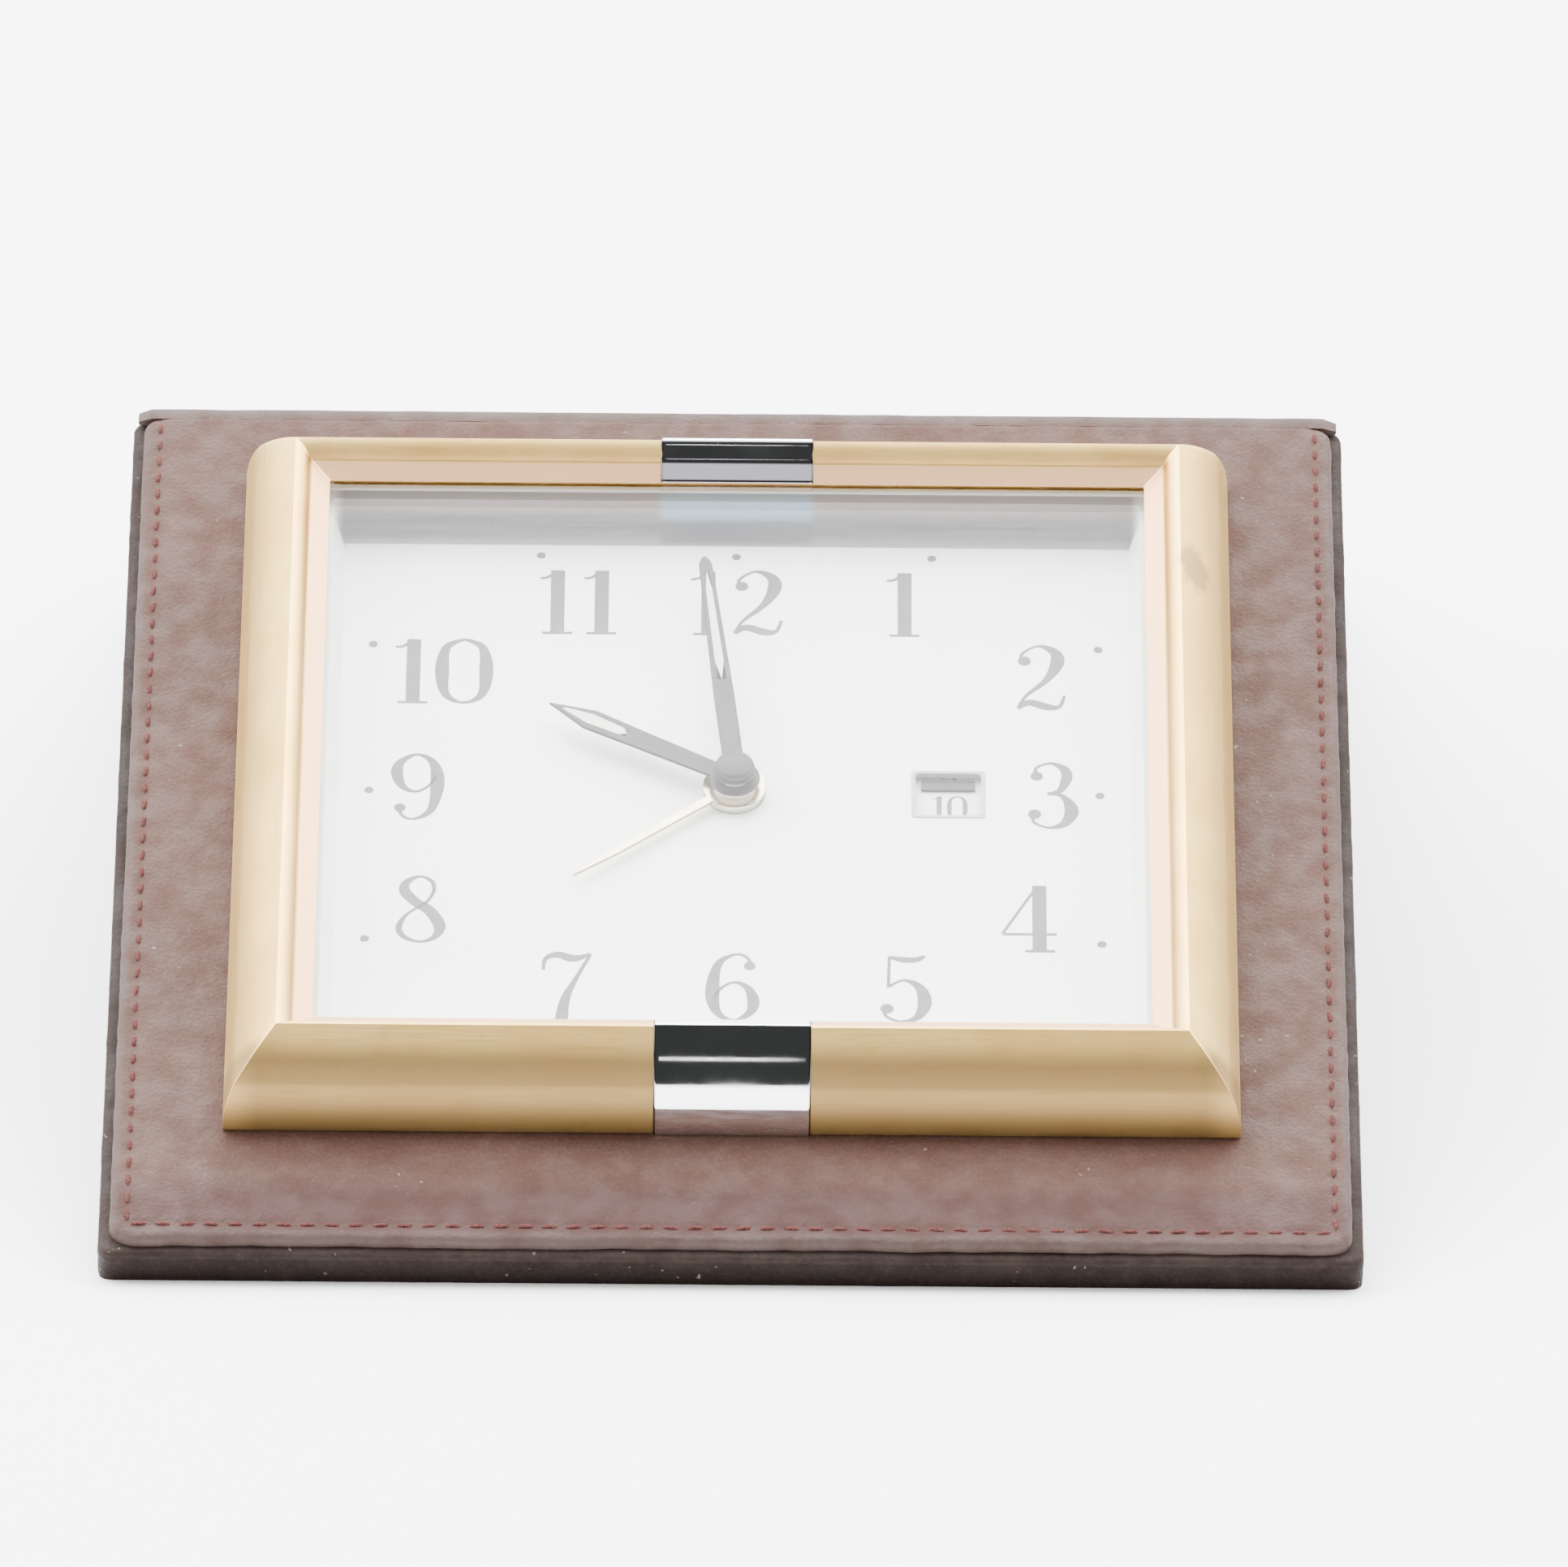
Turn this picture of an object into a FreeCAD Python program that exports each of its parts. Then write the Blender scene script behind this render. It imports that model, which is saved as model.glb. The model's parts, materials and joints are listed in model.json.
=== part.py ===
import FreeCAD, Part
import math
import os
import re
import Sketcher

# Folding travel alarm clock. The clock sits in a stiff leather-covered leaf. A leather spine joins
# that leaf to a second leaf, the cover, which stands behind it as a prop.
# Front-leaf pieces are drawn in the clock frame: X to the right, Y up the face, Z out of the face,
# with the origin at the dial centre on the leather's front surface.
# Cover pieces are drawn in the cover frame: X to the right, Y away from the spine, Z outward.

Vector = FreeCAD.Vector
Rotation = FreeCAD.Rotation
Placement = FreeCAD.Placement
OUT_OF_FACE = Vector(0, 0, 1)

SIZES = {
    # standing pose
    "lean_deg": 25.0, "foot_flat": 0.8,
    # front leaf
    "leaf_half": 56.0, "leaf_top": 51.0, "leaf_foot": 57.0, "leaf_back": 5.4, "binding_skin": 1.2,
    "binding_wall": 2.0, "binding_round": 1.2, "face_half": 55.0, "face_top": 50.5, "face_foot": 56.0,
    "face_skin": 1.2, "face_round": 2.0, "face_edge": 0.7, "hole_half": 40.4, "hole_high": 37.9,
    # stitching
    "stitch_half": 53.5, "stitch_foot": 54.3, "stitch_pitch": 2.15, "stitch_long": 1.5,
    "stitch_wide": 0.45, "stitch_high": 0.3,
    # clock case
    "case_half": 40.2, "case_high": 37.7, "case_wall": 1.4, "case_back": 11.4, "flange_wide": 2.8,
    "flange_thick": 1.0, "cover_thick": 1.4, "boss_size": 6.0, "clamp_wide": 5.8, "clamp_thick": 1.2,
    # bezel, measured outward from the inner lip
    "lip_half": 39.2, "lip_high": 36.7, "lip_up": 7.5, "crest_up": 8.9, "rail_wide": 6.1,
    "insert_half": 7.0, "insert_gap": 0.08,
    # glass, dial and hands
    "glass_half": 38.6, "glass_high": 36.1, "glass_low": 4.9, "glass_thick": 1.5, "seal_thick": 0.3,
    "dial_half": 38.4, "dial_high": 35.9, "dial_low": 0.3, "dial_thick": 0.5, "view_half": 36.0,
    "view_high": 32.5, "window_x": 19.4, "window_wide": 6.0, "window_high": 5.4, "dial_bore": 2.8,
    "hour_long": 19.4, "minute_long": 28.1, "alarm_long": 18.7, "hand_thick": 0.25,
    "alarm_hand_up": 1.6, "hour_hand_up": 2.6, "minute_hand_up": 3.6,
    # plates and gears
    "plate_top": 3.0, "plate_thick": 1.2, "bridge_low": 9.4, "bridge_thick": 0.8, "post_round": 1.2,
    "arbor_round": 0.5, "shaft_round": 1.0, "minute_arbor": 0.75, "running_gap": 0.06,
    "motion_module": 0.4, "train_module": 0.25, "centre_module": 0.3, "wheel_thick": 0.5,
    # battery, buzzer and controls
    "battery_round": 10.0, "battery_thick": 3.2, "buzzer_round": 9.5, "knob_round": 5.2,
    "knob_thick": 1.8, "button_round": 2.0, "switch_travel": 4.0,
    "door_round": 10.7,
    # spine and cover
    "spine_thick": 1.4, "spine_long": 14.4, "cover_long": 108.0, "cover_half": 56.0,
    "cover_up": 1.7, "cover_down": 1.1, "cover_wall": 2.0, "lining_thick": 0.6, "hinge_gap": 0.9,
}

MOTION_TEETH = {"cannon": 12, "minute": 36, "step_down": 10, "hour": 40, "alarm": 40, "alarm_set": 14}
TRAIN_TEETH = {"centre": 50, "first_leaf": 10, "first": 48, "second_leaf": 12, "second": 36, "rotor": 12}

doc = FreeCAD.newDocument("TravelAlarmClock")
sheet = doc.addObject("Spreadsheet::Sheet", "Sizes")
for row, (name, value) in enumerate(SIZES.items(), start=1):
    sheet.set("A%d" % row, name.replace("_", " "))
    sheet.set("B%d" % row, str(value))
    sheet.setAlias("B%d" % row, name)
doc.recompute()

pieces = []


def mm(name):
    """Read one driving dimension from the sheet."""
    return float(sheet.get(name))


def cells(text):
    """Turn plain names in an expression into references to the sheet."""
    return re.sub(r"[a-z_]{4,}", lambda word: "Sizes." + word.group(), text)


def polar(angle_deg, distance, centre=(0.0, 0.0)):
    turn = math.radians(angle_deg)
    return (centre[0] + distance * math.cos(turn), centre[1] + distance * math.sin(turn))


# ---------------------------------------------------------------------------
# Standing pose: where the clock frame, the two leather hinge lines and the cover lie
# ---------------------------------------------------------------------------

LEAN = math.radians(mm("lean_deg"))
HINGE_Y = mm("leaf_top") + mm("spine_thick") / 2
HINGE_Z = -mm("spine_thick") / 2
SECOND_Z = HINGE_Z - mm("spine_long")
RISE = mm("leaf_foot") * math.sin(LEAN) + mm("leaf_back") * math.cos(LEAN) - mm("foot_flat")


def standing(y, z):
    """World depth and height of a point of the clock frame, before centring."""
    depth = y * math.cos(LEAN) - z * math.sin(LEAN)
    return depth, y * math.sin(LEAN) + z * math.cos(LEAN) + RISE


second_depth, second_height = standing(HINGE_Y, SECOND_Z)
COVER_REACH = math.hypot(mm("cover_long"), mm("cover_down"))
COVER_SLOPE = (math.asin((second_height + mm("foot_flat") / 2) / COVER_REACH)
               - math.atan2(mm("cover_down"), mm("cover_long")))
FRONT_DEPTH = standing(-mm("face_foot"), -mm("face_skin"))[0] - 0.4
REAR_DEPTH = (second_depth + mm("cover_long") * math.cos(COVER_SLOPE)
              + mm("cover_up") * math.sin(COVER_SLOPE))
CENTRE = (FRONT_DEPTH + REAR_DEPTH) / 2

STAND = Placement(Vector(0, -CENTRE, RISE), Rotation(Vector(1, 0, 0), mm("lean_deg")))
COVER = Placement(Vector(0, second_depth - CENTRE, second_height),
                  Rotation(Vector(1, 0, 0), -math.degrees(COVER_SLOPE)))


# ---------------------------------------------------------------------------
# Sketch and feature helpers
# ---------------------------------------------------------------------------

def new_body(label, place=STAND):
    body = doc.addObject("PartDesign::Body", label)
    body.Label = label
    body.Placement = place
    pieces.append(body)
    return body


def origin_plane(body, role):
    return next(item for item in body.Origin.OriginFeatures if item.Role == role)


def new_sketch(body, height="0", role="XY_Plane"):
    sketch = body.newObject("Sketcher::SketchObject", "Outline")
    sketch.AttachmentSupport = [(origin_plane(body, role), "")]
    sketch.MapMode = "FlatFace"
    sketch.setExpression(".AttachmentOffset.Base.z", cells(height))
    return sketch


def bind(sketch, kind, line, point, expression):
    number = sketch.addConstraint(Sketcher.Constraint(kind, -1, 1, line, point, 1.0))
    sketch.setExpression("Constraints[%d]" % number, cells(expression))


def draw_box(sketch, left, right, low, high):
    """A rectangle between two X values and two Y values."""
    corner = [Vector(-1, -1, 0), Vector(1, -1, 0), Vector(1, 1, 0), Vector(-1, 1, 0)]
    first = sketch.GeometryCount
    for step in range(4):
        sketch.addGeometry(Part.LineSegment(corner[step], corner[(step + 1) % 4]), False)
    for step in range(4):
        sketch.addConstraint(Sketcher.Constraint("Coincident", first + step, 2, first + (step + 1) % 4, 1))
    for step in (0, 2):
        sketch.addConstraint(Sketcher.Constraint("Horizontal", first + step))
        sketch.addConstraint(Sketcher.Constraint("Vertical", first + step + 1))
    bind(sketch, "DistanceX", first + 3, 1, left)
    bind(sketch, "DistanceX", first + 1, 1, right)
    bind(sketch, "DistanceY", first, 1, low)
    bind(sketch, "DistanceY", first + 2, 1, high)


def draw_frame(sketch, half_x, half_y):
    """A rectangle centred on the origin."""
    draw_box(sketch, "-(%s)" % half_x, half_x, "-(%s)" % half_y, half_y)


def draw_circle(sketch, centre, radius):
    """A circle at a fixed point, its radius bound to the sheet."""
    circle = sketch.addGeometry(Part.Circle(Vector(centre[0], centre[1], 0), OUT_OF_FACE, 1.0), False)
    bind(sketch, "DistanceX", circle, 3, "%.6f" % centre[0])
    bind(sketch, "DistanceY", circle, 3, "%.6f" % centre[1])
    number = sketch.addConstraint(Sketcher.Constraint("Radius", circle, 1.0))
    sketch.setExpression("Constraints[%d]" % number, cells(radius))


def draw_outline(sketch, points):
    """A closed outline through points held by two distances each."""
    first = sketch.GeometryCount
    count = len(points)
    for step in range(count):
        start = Vector(points[step][0], points[step][1], 0)
        end = Vector(points[(step + 1) % count][0], points[(step + 1) % count][1], 0)
        sketch.addGeometry(Part.LineSegment(start, end), False)
    for step in range(count):
        sketch.addConstraint(Sketcher.Constraint("Coincident", first + step, 2,
                                                 first + (step + 1) % count, 1))
        sketch.addConstraint(Sketcher.Constraint("DistanceX", -1, 1, first + step, 1, points[step][0]))
        sketch.addConstraint(Sketcher.Constraint("DistanceY", -1, 1, first + step, 1, points[step][1]))


def add_pad(body, sketch, thickness):
    pad = body.newObject("PartDesign::Pad", "Pad")
    pad.Profile = sketch
    pad.setExpression("Length", cells(thickness))
    doc.recompute()
    return pad


def add_pocket(body, sketch, depth):
    """Cut downward from the sketch, and stop if nothing is cut."""
    before = body.Shape.Volume
    pocket = body.newObject("PartDesign::Pocket", "Pocket")
    pocket.Profile = sketch
    pocket.setExpression("Length", cells(depth))
    doc.recompute()
    if not body.Shape.Volume < before - 1e-6:
        raise RuntimeError(body.Label + ": a pocket cut nothing")
    return pocket


def round_edges(body, radius, wanted):
    """Fillet the edges of the body's tip for which wanted(edge) is true."""
    tip = body.Tip
    names = ["Edge%d" % (number + 1) for number, edge in enumerate(tip.Shape.Edges) if wanted(edge)]
    fillet = body.newObject("PartDesign::Fillet", "Round")
    fillet.Base = (tip, names)
    fillet.setExpression("Radius", cells(radius))
    doc.recompute()
    return fillet


def upright_at(half_x):
    """Pick straight edges along Z that stand at least half_x away from the middle plane."""
    def wanted(edge):
        box = edge.BoundBox
        return box.ZLength > 0.3 and box.XLength + box.YLength < 1e-6 and abs(box.XMin) > half_x
    return wanted


def outer_rim_at(height, half_x, half_y):
    """Pick the edges of one level that lie outside the given half sizes."""
    def wanted(edge):
        box = edge.BoundBox
        level = abs(box.ZMin - height) < 1e-6 and box.ZLength < 1e-6
        return level and max(abs(box.XMin), abs(box.XMax)) > half_x or (
            level and max(abs(box.YMin), abs(box.YMax)) > half_y)
    return wanted


def shaped(label, shape, place=STAND):
    """A piece whose shape comes straight from Part's functions."""
    feature = doc.addObject("Part::Feature", label)
    feature.Label = label
    feature.Shape = shape
    feature.Placement = place.multiply(shape.Placement)
    pieces.append(feature)
    return feature


def rod(centre, radius, low, high):
    return Part.makeCylinder(radius, high - low, Vector(centre[0], centre[1], low))


def ring(centre, outer, inner, low, high):
    return rod(centre, outer, low, high).cut(rod(centre, inner, low, high))


def block(left, right, low_y, high_y, low_z, high_z):
    return Part.makeBox(right - left, high_y - low_y, high_z - low_z, Vector(left, low_y, low_z))


def join(shapes):
    solid = shapes[0].fuse(shapes[1:])
    return solid.removeSplitter()


# ---------------------------------------------------------------------------
# Gears: straight-sided pieces of involute, with a little backlash
# ---------------------------------------------------------------------------

PRESSURE = math.radians(25)
TOOTH_THINNING = 0.12
ADDENDUM = 0.75
DEDENDUM = 1.05


def involute(angle):
    return math.tan(angle) - angle


def gear_outline(teeth, module, phase_deg):
    """Closed outline of a spur gear with the middle of one tooth at phase_deg."""
    pitch = teeth * module / 2
    base = pitch * math.cos(PRESSURE)
    root = pitch - DEDENDUM * module
    tip = pitch + ADDENDUM * module
    half_pitch_angle = math.pi / 2 / teeth * (1 - TOOTH_THINNING)
    start = max(base, root)
    radii = [start, start + (tip - start) * 0.35, start + (tip - start) * 0.7, tip]
    flank = []
    if root < base:
        flank.append((root, half_pitch_angle + involute(PRESSURE)))
    for radius in radii:
        turn = involute(math.acos(min(1.0, base / radius)))
        flank.append((radius, half_pitch_angle + involute(PRESSURE) - turn))
    points = []
    for tooth in range(teeth):
        middle = math.radians(phase_deg) + 2 * math.pi * tooth / teeth
        for radius, half in flank:
            points.append(Vector(radius * math.cos(middle - half), radius * math.sin(middle - half), 0))
        for radius, half in reversed(flank):
            points.append(Vector(radius * math.cos(middle + half), radius * math.sin(middle + half), 0))
    return points + [points[0]]


def gear(teeth, module, centre, low, thickness, phase_deg):
    face = Part.Face(Part.makePolygon(gear_outline(teeth, module, phase_deg)))
    solid = face.extrude(Vector(0, 0, thickness))
    solid.translate(Vector(centre[0], centre[1], low))
    return solid


def meshing_phase(phase_deg, teeth, mate_teeth, direction_deg):
    """Tooth phase of a mate that lies in direction_deg, so that its gap meets this gear's tooth."""
    offset = (phase_deg - direction_deg) * teeth / mate_teeth
    return direction_deg + 180 + 180 / mate_teeth - offset


def direction(start, end):
    return math.degrees(math.atan2(end[1] - start[1], end[0] - start[0]))


# Gear centres, seen from the front, set by the centre distances of the meshing pairs
MOTION = mm("motion_module")
STEP_MODULE = MOTION * (MOTION_TEETH["cannon"] + MOTION_TEETH["minute"]) / (
    MOTION_TEETH["step_down"] + MOTION_TEETH["hour"])
MINUTE_DISTANCE = MOTION * (MOTION_TEETH["cannon"] + MOTION_TEETH["minute"]) / 2
ALARM_DISTANCE = MOTION * (MOTION_TEETH["alarm"] + MOTION_TEETH["alarm_set"]) / 2
FIRST_DISTANCE = mm("centre_module") * (TRAIN_TEETH["centre"] + TRAIN_TEETH["first_leaf"]) / 2
SECOND_DISTANCE = mm("train_module") * (TRAIN_TEETH["first"] + TRAIN_TEETH["second_leaf"]) / 2
ROTOR_DISTANCE = mm("train_module") * (TRAIN_TEETH["second"] + TRAIN_TEETH["rotor"]) / 2

MIDDLE = (0.0, 0.0)
MINUTE_WHEEL_AT = polar(-100, MINUTE_DISTANCE)
TIME_SHAFT_AT = polar(161, MINUTE_DISTANCE, MINUTE_WHEEL_AT)
ALARM_SHAFT_AT = polar(20, ALARM_DISTANCE)
FIRST_WHEEL_AT = polar(150, FIRST_DISTANCE)
SECOND_WHEEL_AT = polar(90, SECOND_DISTANCE, FIRST_WHEEL_AT)
ROTOR_AT = polar(180, ROTOR_DISTANCE, SECOND_WHEEL_AT)

BATTERY_AT = (24.0, -20.0)
BUZZER_AT = (-20.0, -24.0)
BUTTON_AT = (-24.0, 26.0)
SWITCH_AT = (20.0, 29.0)
POSTS_AT = [(-17.0, -3.0), (3.5, 16.5), (3.5, -9.5)]
BOARD_POSTS_AT = [(12.5, 29.5), (31.5, 8.5)]
STATOR_POSTS_AT = [(-29.5, 12.0), (-21.0, 12.0)]
CLAMP_SCREWS_AT = [(side * 43.3, end * 25.0) for side in (-1, 1) for end in (-1, 1)]
COVER_SCREWS_AT = [(side * 35.8, end * 33.3) for side in (-1, 1) for end in (-1, 1)]


# ---------------------------------------------------------------------------
# Front leaf: board, binding, face leather and stitching
# ---------------------------------------------------------------------------

def make_front_board():
    body = new_body("front_board")
    sketch = new_sketch(body, "-(leaf_back - binding_skin)")
    draw_box(sketch, "-(leaf_half - binding_wall)", "leaf_half - binding_wall",
             "-(leaf_foot - binding_wall)", "leaf_top - binding_wall")
    draw_frame(sketch, "hole_half", "hole_high")
    for spot in CLAMP_SCREWS_AT:
        draw_circle(sketch, spot, "0.7")
    add_pad(body, sketch, "leaf_back - binding_skin - face_skin")


def make_front_binding():
    body = new_body("front_binding")
    sketch = new_sketch(body, "-leaf_back")
    draw_box(sketch, "-leaf_half", "leaf_half", "-leaf_foot", "leaf_top")
    draw_frame(sketch, "hole_half", "hole_high")
    for spot in CLAMP_SCREWS_AT:
        draw_circle(sketch, spot, "0.7")
    add_pad(body, sketch, "leaf_back - face_skin")
    tray = new_sketch(body, "-face_skin")
    draw_box(tray, "-(leaf_half - binding_wall)", "leaf_half - binding_wall",
             "-(leaf_foot - binding_wall)", "leaf_top - binding_wall")
    add_pocket(body, tray, "leaf_back - face_skin - binding_skin")
    round_edges(body, "binding_round", upright_at(mm("leaf_half") - 0.01))
    # worn flat along the lower back edge, level when the clock stands
    foot = new_sketch(body, "0", "YZ_Plane")
    height = mm("foot_flat")
    back, low = -mm("leaf_back"), -mm("leaf_foot")
    along, across = height / math.sin(LEAN), height / math.cos(LEAN)
    draw_outline(foot, [(low + along, back), (low - 2, back + across + 2 * math.tan(LEAN)),
                        (low - 2, back - 2), (low + along, back - 2)])
    cut = add_pocket_both_ways(body, foot, "leaf_half * 2 + 4")
    return cut


def add_pocket_both_ways(body, sketch, width):
    """Cut the same distance to both sides of the sketch."""
    before = body.Shape.Volume
    pocket = body.newObject("PartDesign::Pocket", "Pocket")
    pocket.Profile = sketch
    pocket.Midplane = True
    pocket.setExpression("Length", cells(width))
    doc.recompute()
    if not body.Shape.Volume < before - 1e-6:
        raise RuntimeError(body.Label + ": a pocket cut nothing")
    return pocket


def make_face_leather():
    body = new_body("face_leather")
    sketch = new_sketch(body, "-face_skin")
    draw_box(sketch, "-face_half", "face_half", "-face_foot", "face_top")
    draw_frame(sketch, "hole_half", "hole_high")
    add_pad(body, sketch, "face_skin")
    round_edges(body, "face_round", upright_at(mm("face_half") - 0.01))
    round_edges(body, "face_edge", outer_rim_at(0.0, mm("face_half") - 2.5, mm("face_top") - 0.01))


def stitch_row(start, end):
    """Evenly spaced stitches along a straight line, each lying on the leather."""
    reach = math.hypot(end[0] - start[0], end[1] - start[1])
    count = int(round(reach / mm("stitch_pitch")))
    angle = direction(start, end)
    row = []
    for number in range(count):
        share = (number + 0.5) / count
        stitch = block(-mm("stitch_long") / 2, mm("stitch_long") / 2,
                       -mm("stitch_wide") / 2, mm("stitch_wide") / 2, 0, mm("stitch_high"))
        stitch.rotate(Vector(0, 0, 0), OUT_OF_FACE, angle)
        stitch.translate(Vector(start[0] + (end[0] - start[0]) * share,
                                start[1] + (end[1] - start[1]) * share, 0))
        row.append(stitch)
    return row


def make_stitching():
    side, foot = mm("stitch_half"), -mm("stitch_foot")
    top = mm("face_top") - 0.8
    rows = stitch_row((-side, top), (-side, foot))
    rows += stitch_row((-side, foot), (side, foot))
    rows += stitch_row((side, foot), (side, top))
    shaped("edge_stitching", Part.makeCompound(rows))
    near, far = mm("hinge_gap") + 1.8, mm("cover_long") - 2.7
    rows = stitch_row((-side, near), (-side, far))
    rows += stitch_row((-side, far), (side, far))
    rows += stitch_row((side, far), (side, near))
    cover_rows = Part.makeCompound(rows)
    cover_rows.translate(Vector(0, 0, mm("cover_up")))
    shaped("cover_stitching", cover_rows, COVER)


# ---------------------------------------------------------------------------
# Bezel and its two bright inserts
# ---------------------------------------------------------------------------

def profile_wire(marks):
    """Closed wire in the Y-Z plane. A mark is a point, or a (through, end) pair for an arc."""
    edges = []
    here = Vector(0, *marks[0])
    for mark in marks[1:] + [marks[0]]:
        if isinstance(mark[0], tuple):
            through, end = Vector(0, *mark[0]), Vector(0, *mark[1])
            edges.append(Part.Arc(here, through, end).toShape())
        else:
            end = Vector(0, *mark)
            edges.append(Part.LineSegment(here, end).toShape())
        here = end
    return Part.Wire(edges)


def rail_profile():
    """Bezel section, Y outward from the lip and Z up from the leather."""
    lip, crest, wide = mm("lip_up"), mm("crest_up"), mm("rail_wide")
    shelf = mm("glass_low") + mm("glass_thick") + 0.05
    return [(-1.8, shelf), (-1.8, shelf + 0.05), (0, lip), ((0.35, crest - 0.4), (1.4, crest)),
            ((3.4, 6.93), (wide - 1, 4.74)), ((wide - 0.27, 2.75), (wide, 0.6)), (wide, 0),
            (wide - 1.2, 0), (wide - 2.4, 4.4), (1.6, 6.9),
            (0.8, 6.4), (0.8, 1.05), (-0.3, 1.05), (-0.3, shelf)]


def insert_profile():
    """Insert section: a plate that stands a quarter millimetre proud of the rail."""
    lip, crest, wide = mm("lip_up"), mm("crest_up"), mm("rail_wide")
    glass_side = mm("glass_low") + mm("glass_thick") + 0.1
    return [(0, lip), (-1.8, glass_side), (-1.8, glass_side + 0.15), (0, lip + 0.15),
            ((0.25, crest - 0.18), (1.42, crest + 0.25)), ((3.58, 7.1), (wide - 0.77, 4.84)),
            ((wide - 0.02, 2.8), (wide + 0.25, 0.6)), (wide + 0.25, 0.05), (wide - 0.7, 0.05),
            (wide - 0.7, 0.6), ((4.15, 5.3), (1.35, crest - 0.7)), (0.45, lip)]


def notch_profile():
    """Section of the channel that receives an insert."""
    lip, crest, wide = mm("lip_up"), mm("crest_up"), mm("rail_wide")
    return [(-0.5, lip), (0.45, lip), (1.35, crest - 0.7), ((4.15, 5.3), (wide - 0.7, 0.6)),
            (wide - 0.7, -1), (wide + 2, -1), (wide + 2, crest + 1), (-0.5, crest + 1)]


def mitred_rail(half_length, offset, quarter_turns):
    """One rail of the frame, cut at 45 degrees at both ends."""
    reach = 60.0
    section = Part.Face(profile_wire(rail_profile()))
    section.translate(Vector(-reach, offset, 0))
    rail = section.extrude(Vector(2 * reach, 0, 0))
    tip = offset - half_length
    wedge = Part.makePolygon([Vector(0, tip, -1), Vector(reach * 2, tip + reach * 2, -1),
                              Vector(-reach * 2, tip + reach * 2, -1), Vector(0, tip, -1)])
    rail = rail.common(Part.Face(wedge).extrude(Vector(0, 0, 20)))
    rail.rotate(Vector(0, 0, 0), OUT_OF_FACE, 90 * quarter_turns)
    return rail


def insert_bar(profile, half_width, offset):
    face = Part.Face(profile_wire(profile))
    face.translate(Vector(-half_width, offset, 0))
    return face.extrude(Vector(2 * half_width, 0, 0))


def turned_over(shape):
    """The same shape on the opposite side of the dial."""
    copy = shape.copy()
    copy.rotate(Vector(0, 0, 0), OUT_OF_FACE, 180)
    return copy


def make_bezel():
    half_x, half_y = mm("lip_half"), mm("lip_high")
    rails = [mitred_rail(half_x, half_y, 0), mitred_rail(half_y, half_x, 1),
             mitred_rail(half_x, half_y, 2), mitred_rail(half_y, half_x, 3)]
    frame = join(rails)
    notch = insert_bar(notch_profile(), mm("insert_half") + mm("insert_gap"), half_y)
    frame = frame.cut(notch).cut(turned_over(notch))
    shaped("bezel_frame", frame)
    insert = insert_bar(insert_profile(), mm("insert_half"), half_y)
    shaped("top_insert", insert)
    shaped("bottom_insert", turned_over(insert))


# ---------------------------------------------------------------------------
# Glass, dial frame, dial and date ring
# ---------------------------------------------------------------------------

def make_glass():
    body = new_body("crystal")
    sketch = new_sketch(body, "glass_low")
    draw_frame(sketch, "glass_half", "glass_high")
    add_pad(body, sketch, "glass_thick")
    seal = new_body("crystal_seal")
    sketch = new_sketch(seal, "glass_low - seal_thick")
    draw_frame(sketch, "glass_half", "glass_high")
    draw_frame(sketch, "glass_half - 0.5", "glass_high - 0.5")
    add_pad(seal, sketch, "seal_thick")


def make_dial_surround():
    """Sloping frame between the dial and the glass."""
    body = new_body("dial_surround")
    sketch = new_sketch(body, "dial_low + dial_thick")
    draw_frame(sketch, "glass_half", "glass_high")
    add_pad(body, sketch, "glass_low - seal_thick - dial_low - dial_thick")
    low = new_sketch(body, "dial_low + dial_thick")
    draw_frame(low, "view_half", "view_high")
    high = new_sketch(body, "glass_low - seal_thick")
    draw_frame(high, "glass_half - 1.6", "glass_high - 1.6")
    funnel = body.newObject("PartDesign::SubtractiveLoft", "Funnel")
    funnel.Profile = low
    funnel.Sections = [high]
    doc.recompute()


def make_dial():
    body = new_body("dial")
    sketch = new_sketch(body, "dial_low")
    draw_frame(sketch, "dial_half", "dial_high")
    draw_circle(sketch, MIDDLE, "dial_bore")
    draw_box(sketch, "window_x - window_wide / 2", "window_x + window_wide / 2",
             "-window_high / 2", "window_high / 2")
    add_pad(body, sketch, "dial_thick")
    spacer = new_body("dial_spacer")
    sketch = new_sketch(spacer, "-plate_top")
    draw_frame(sketch, "dial_half", "dial_high")
    draw_frame(sketch, "dial_half - 3.0", "dial_high - 3.0")
    add_pad(spacer, sketch, "plate_top + dial_low")


def make_date_ring():
    """Ring with one inward notch for each of 31 days, and the seat it turns in."""
    days, outer, inner, low = 31, 22.9, 16.3, -0.5
    edge = []
    for day in range(days):
        edge.append(Vector(*polar(360 * day / days, inner), low))
        edge.append(Vector(*polar(360 * (day + 0.5) / days, inner - 0.5), low))
    opening = Part.Face(Part.makePolygon(edge + [edge[0]])).extrude(Vector(0, 0, mm("wheel_thick")))
    shaped("date_ring", rod(MIDDLE, outer, low, low + mm("wheel_thick")).cut(opening))
    floor = ring(MIDDLE, 24.6, 17.7, -mm("plate_top"), low - 0.1)
    wall = ring(MIDDLE, 24.6, outer + 0.3, -mm("plate_top"), 0.2)
    shaped("date_ring_seat", join([floor, wall]))


# ---------------------------------------------------------------------------
# Hands
# ---------------------------------------------------------------------------

def clock_angle(hours):
    """Angle about +Z of a hand that points at this hour."""
    return 90 - hours * 30


HOUR_POINTS_AT = 9 + 59 / 60
MINUTE_POINTS_AT = 59 / 5
ALARM_POINTS_AT = 7.7


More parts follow.
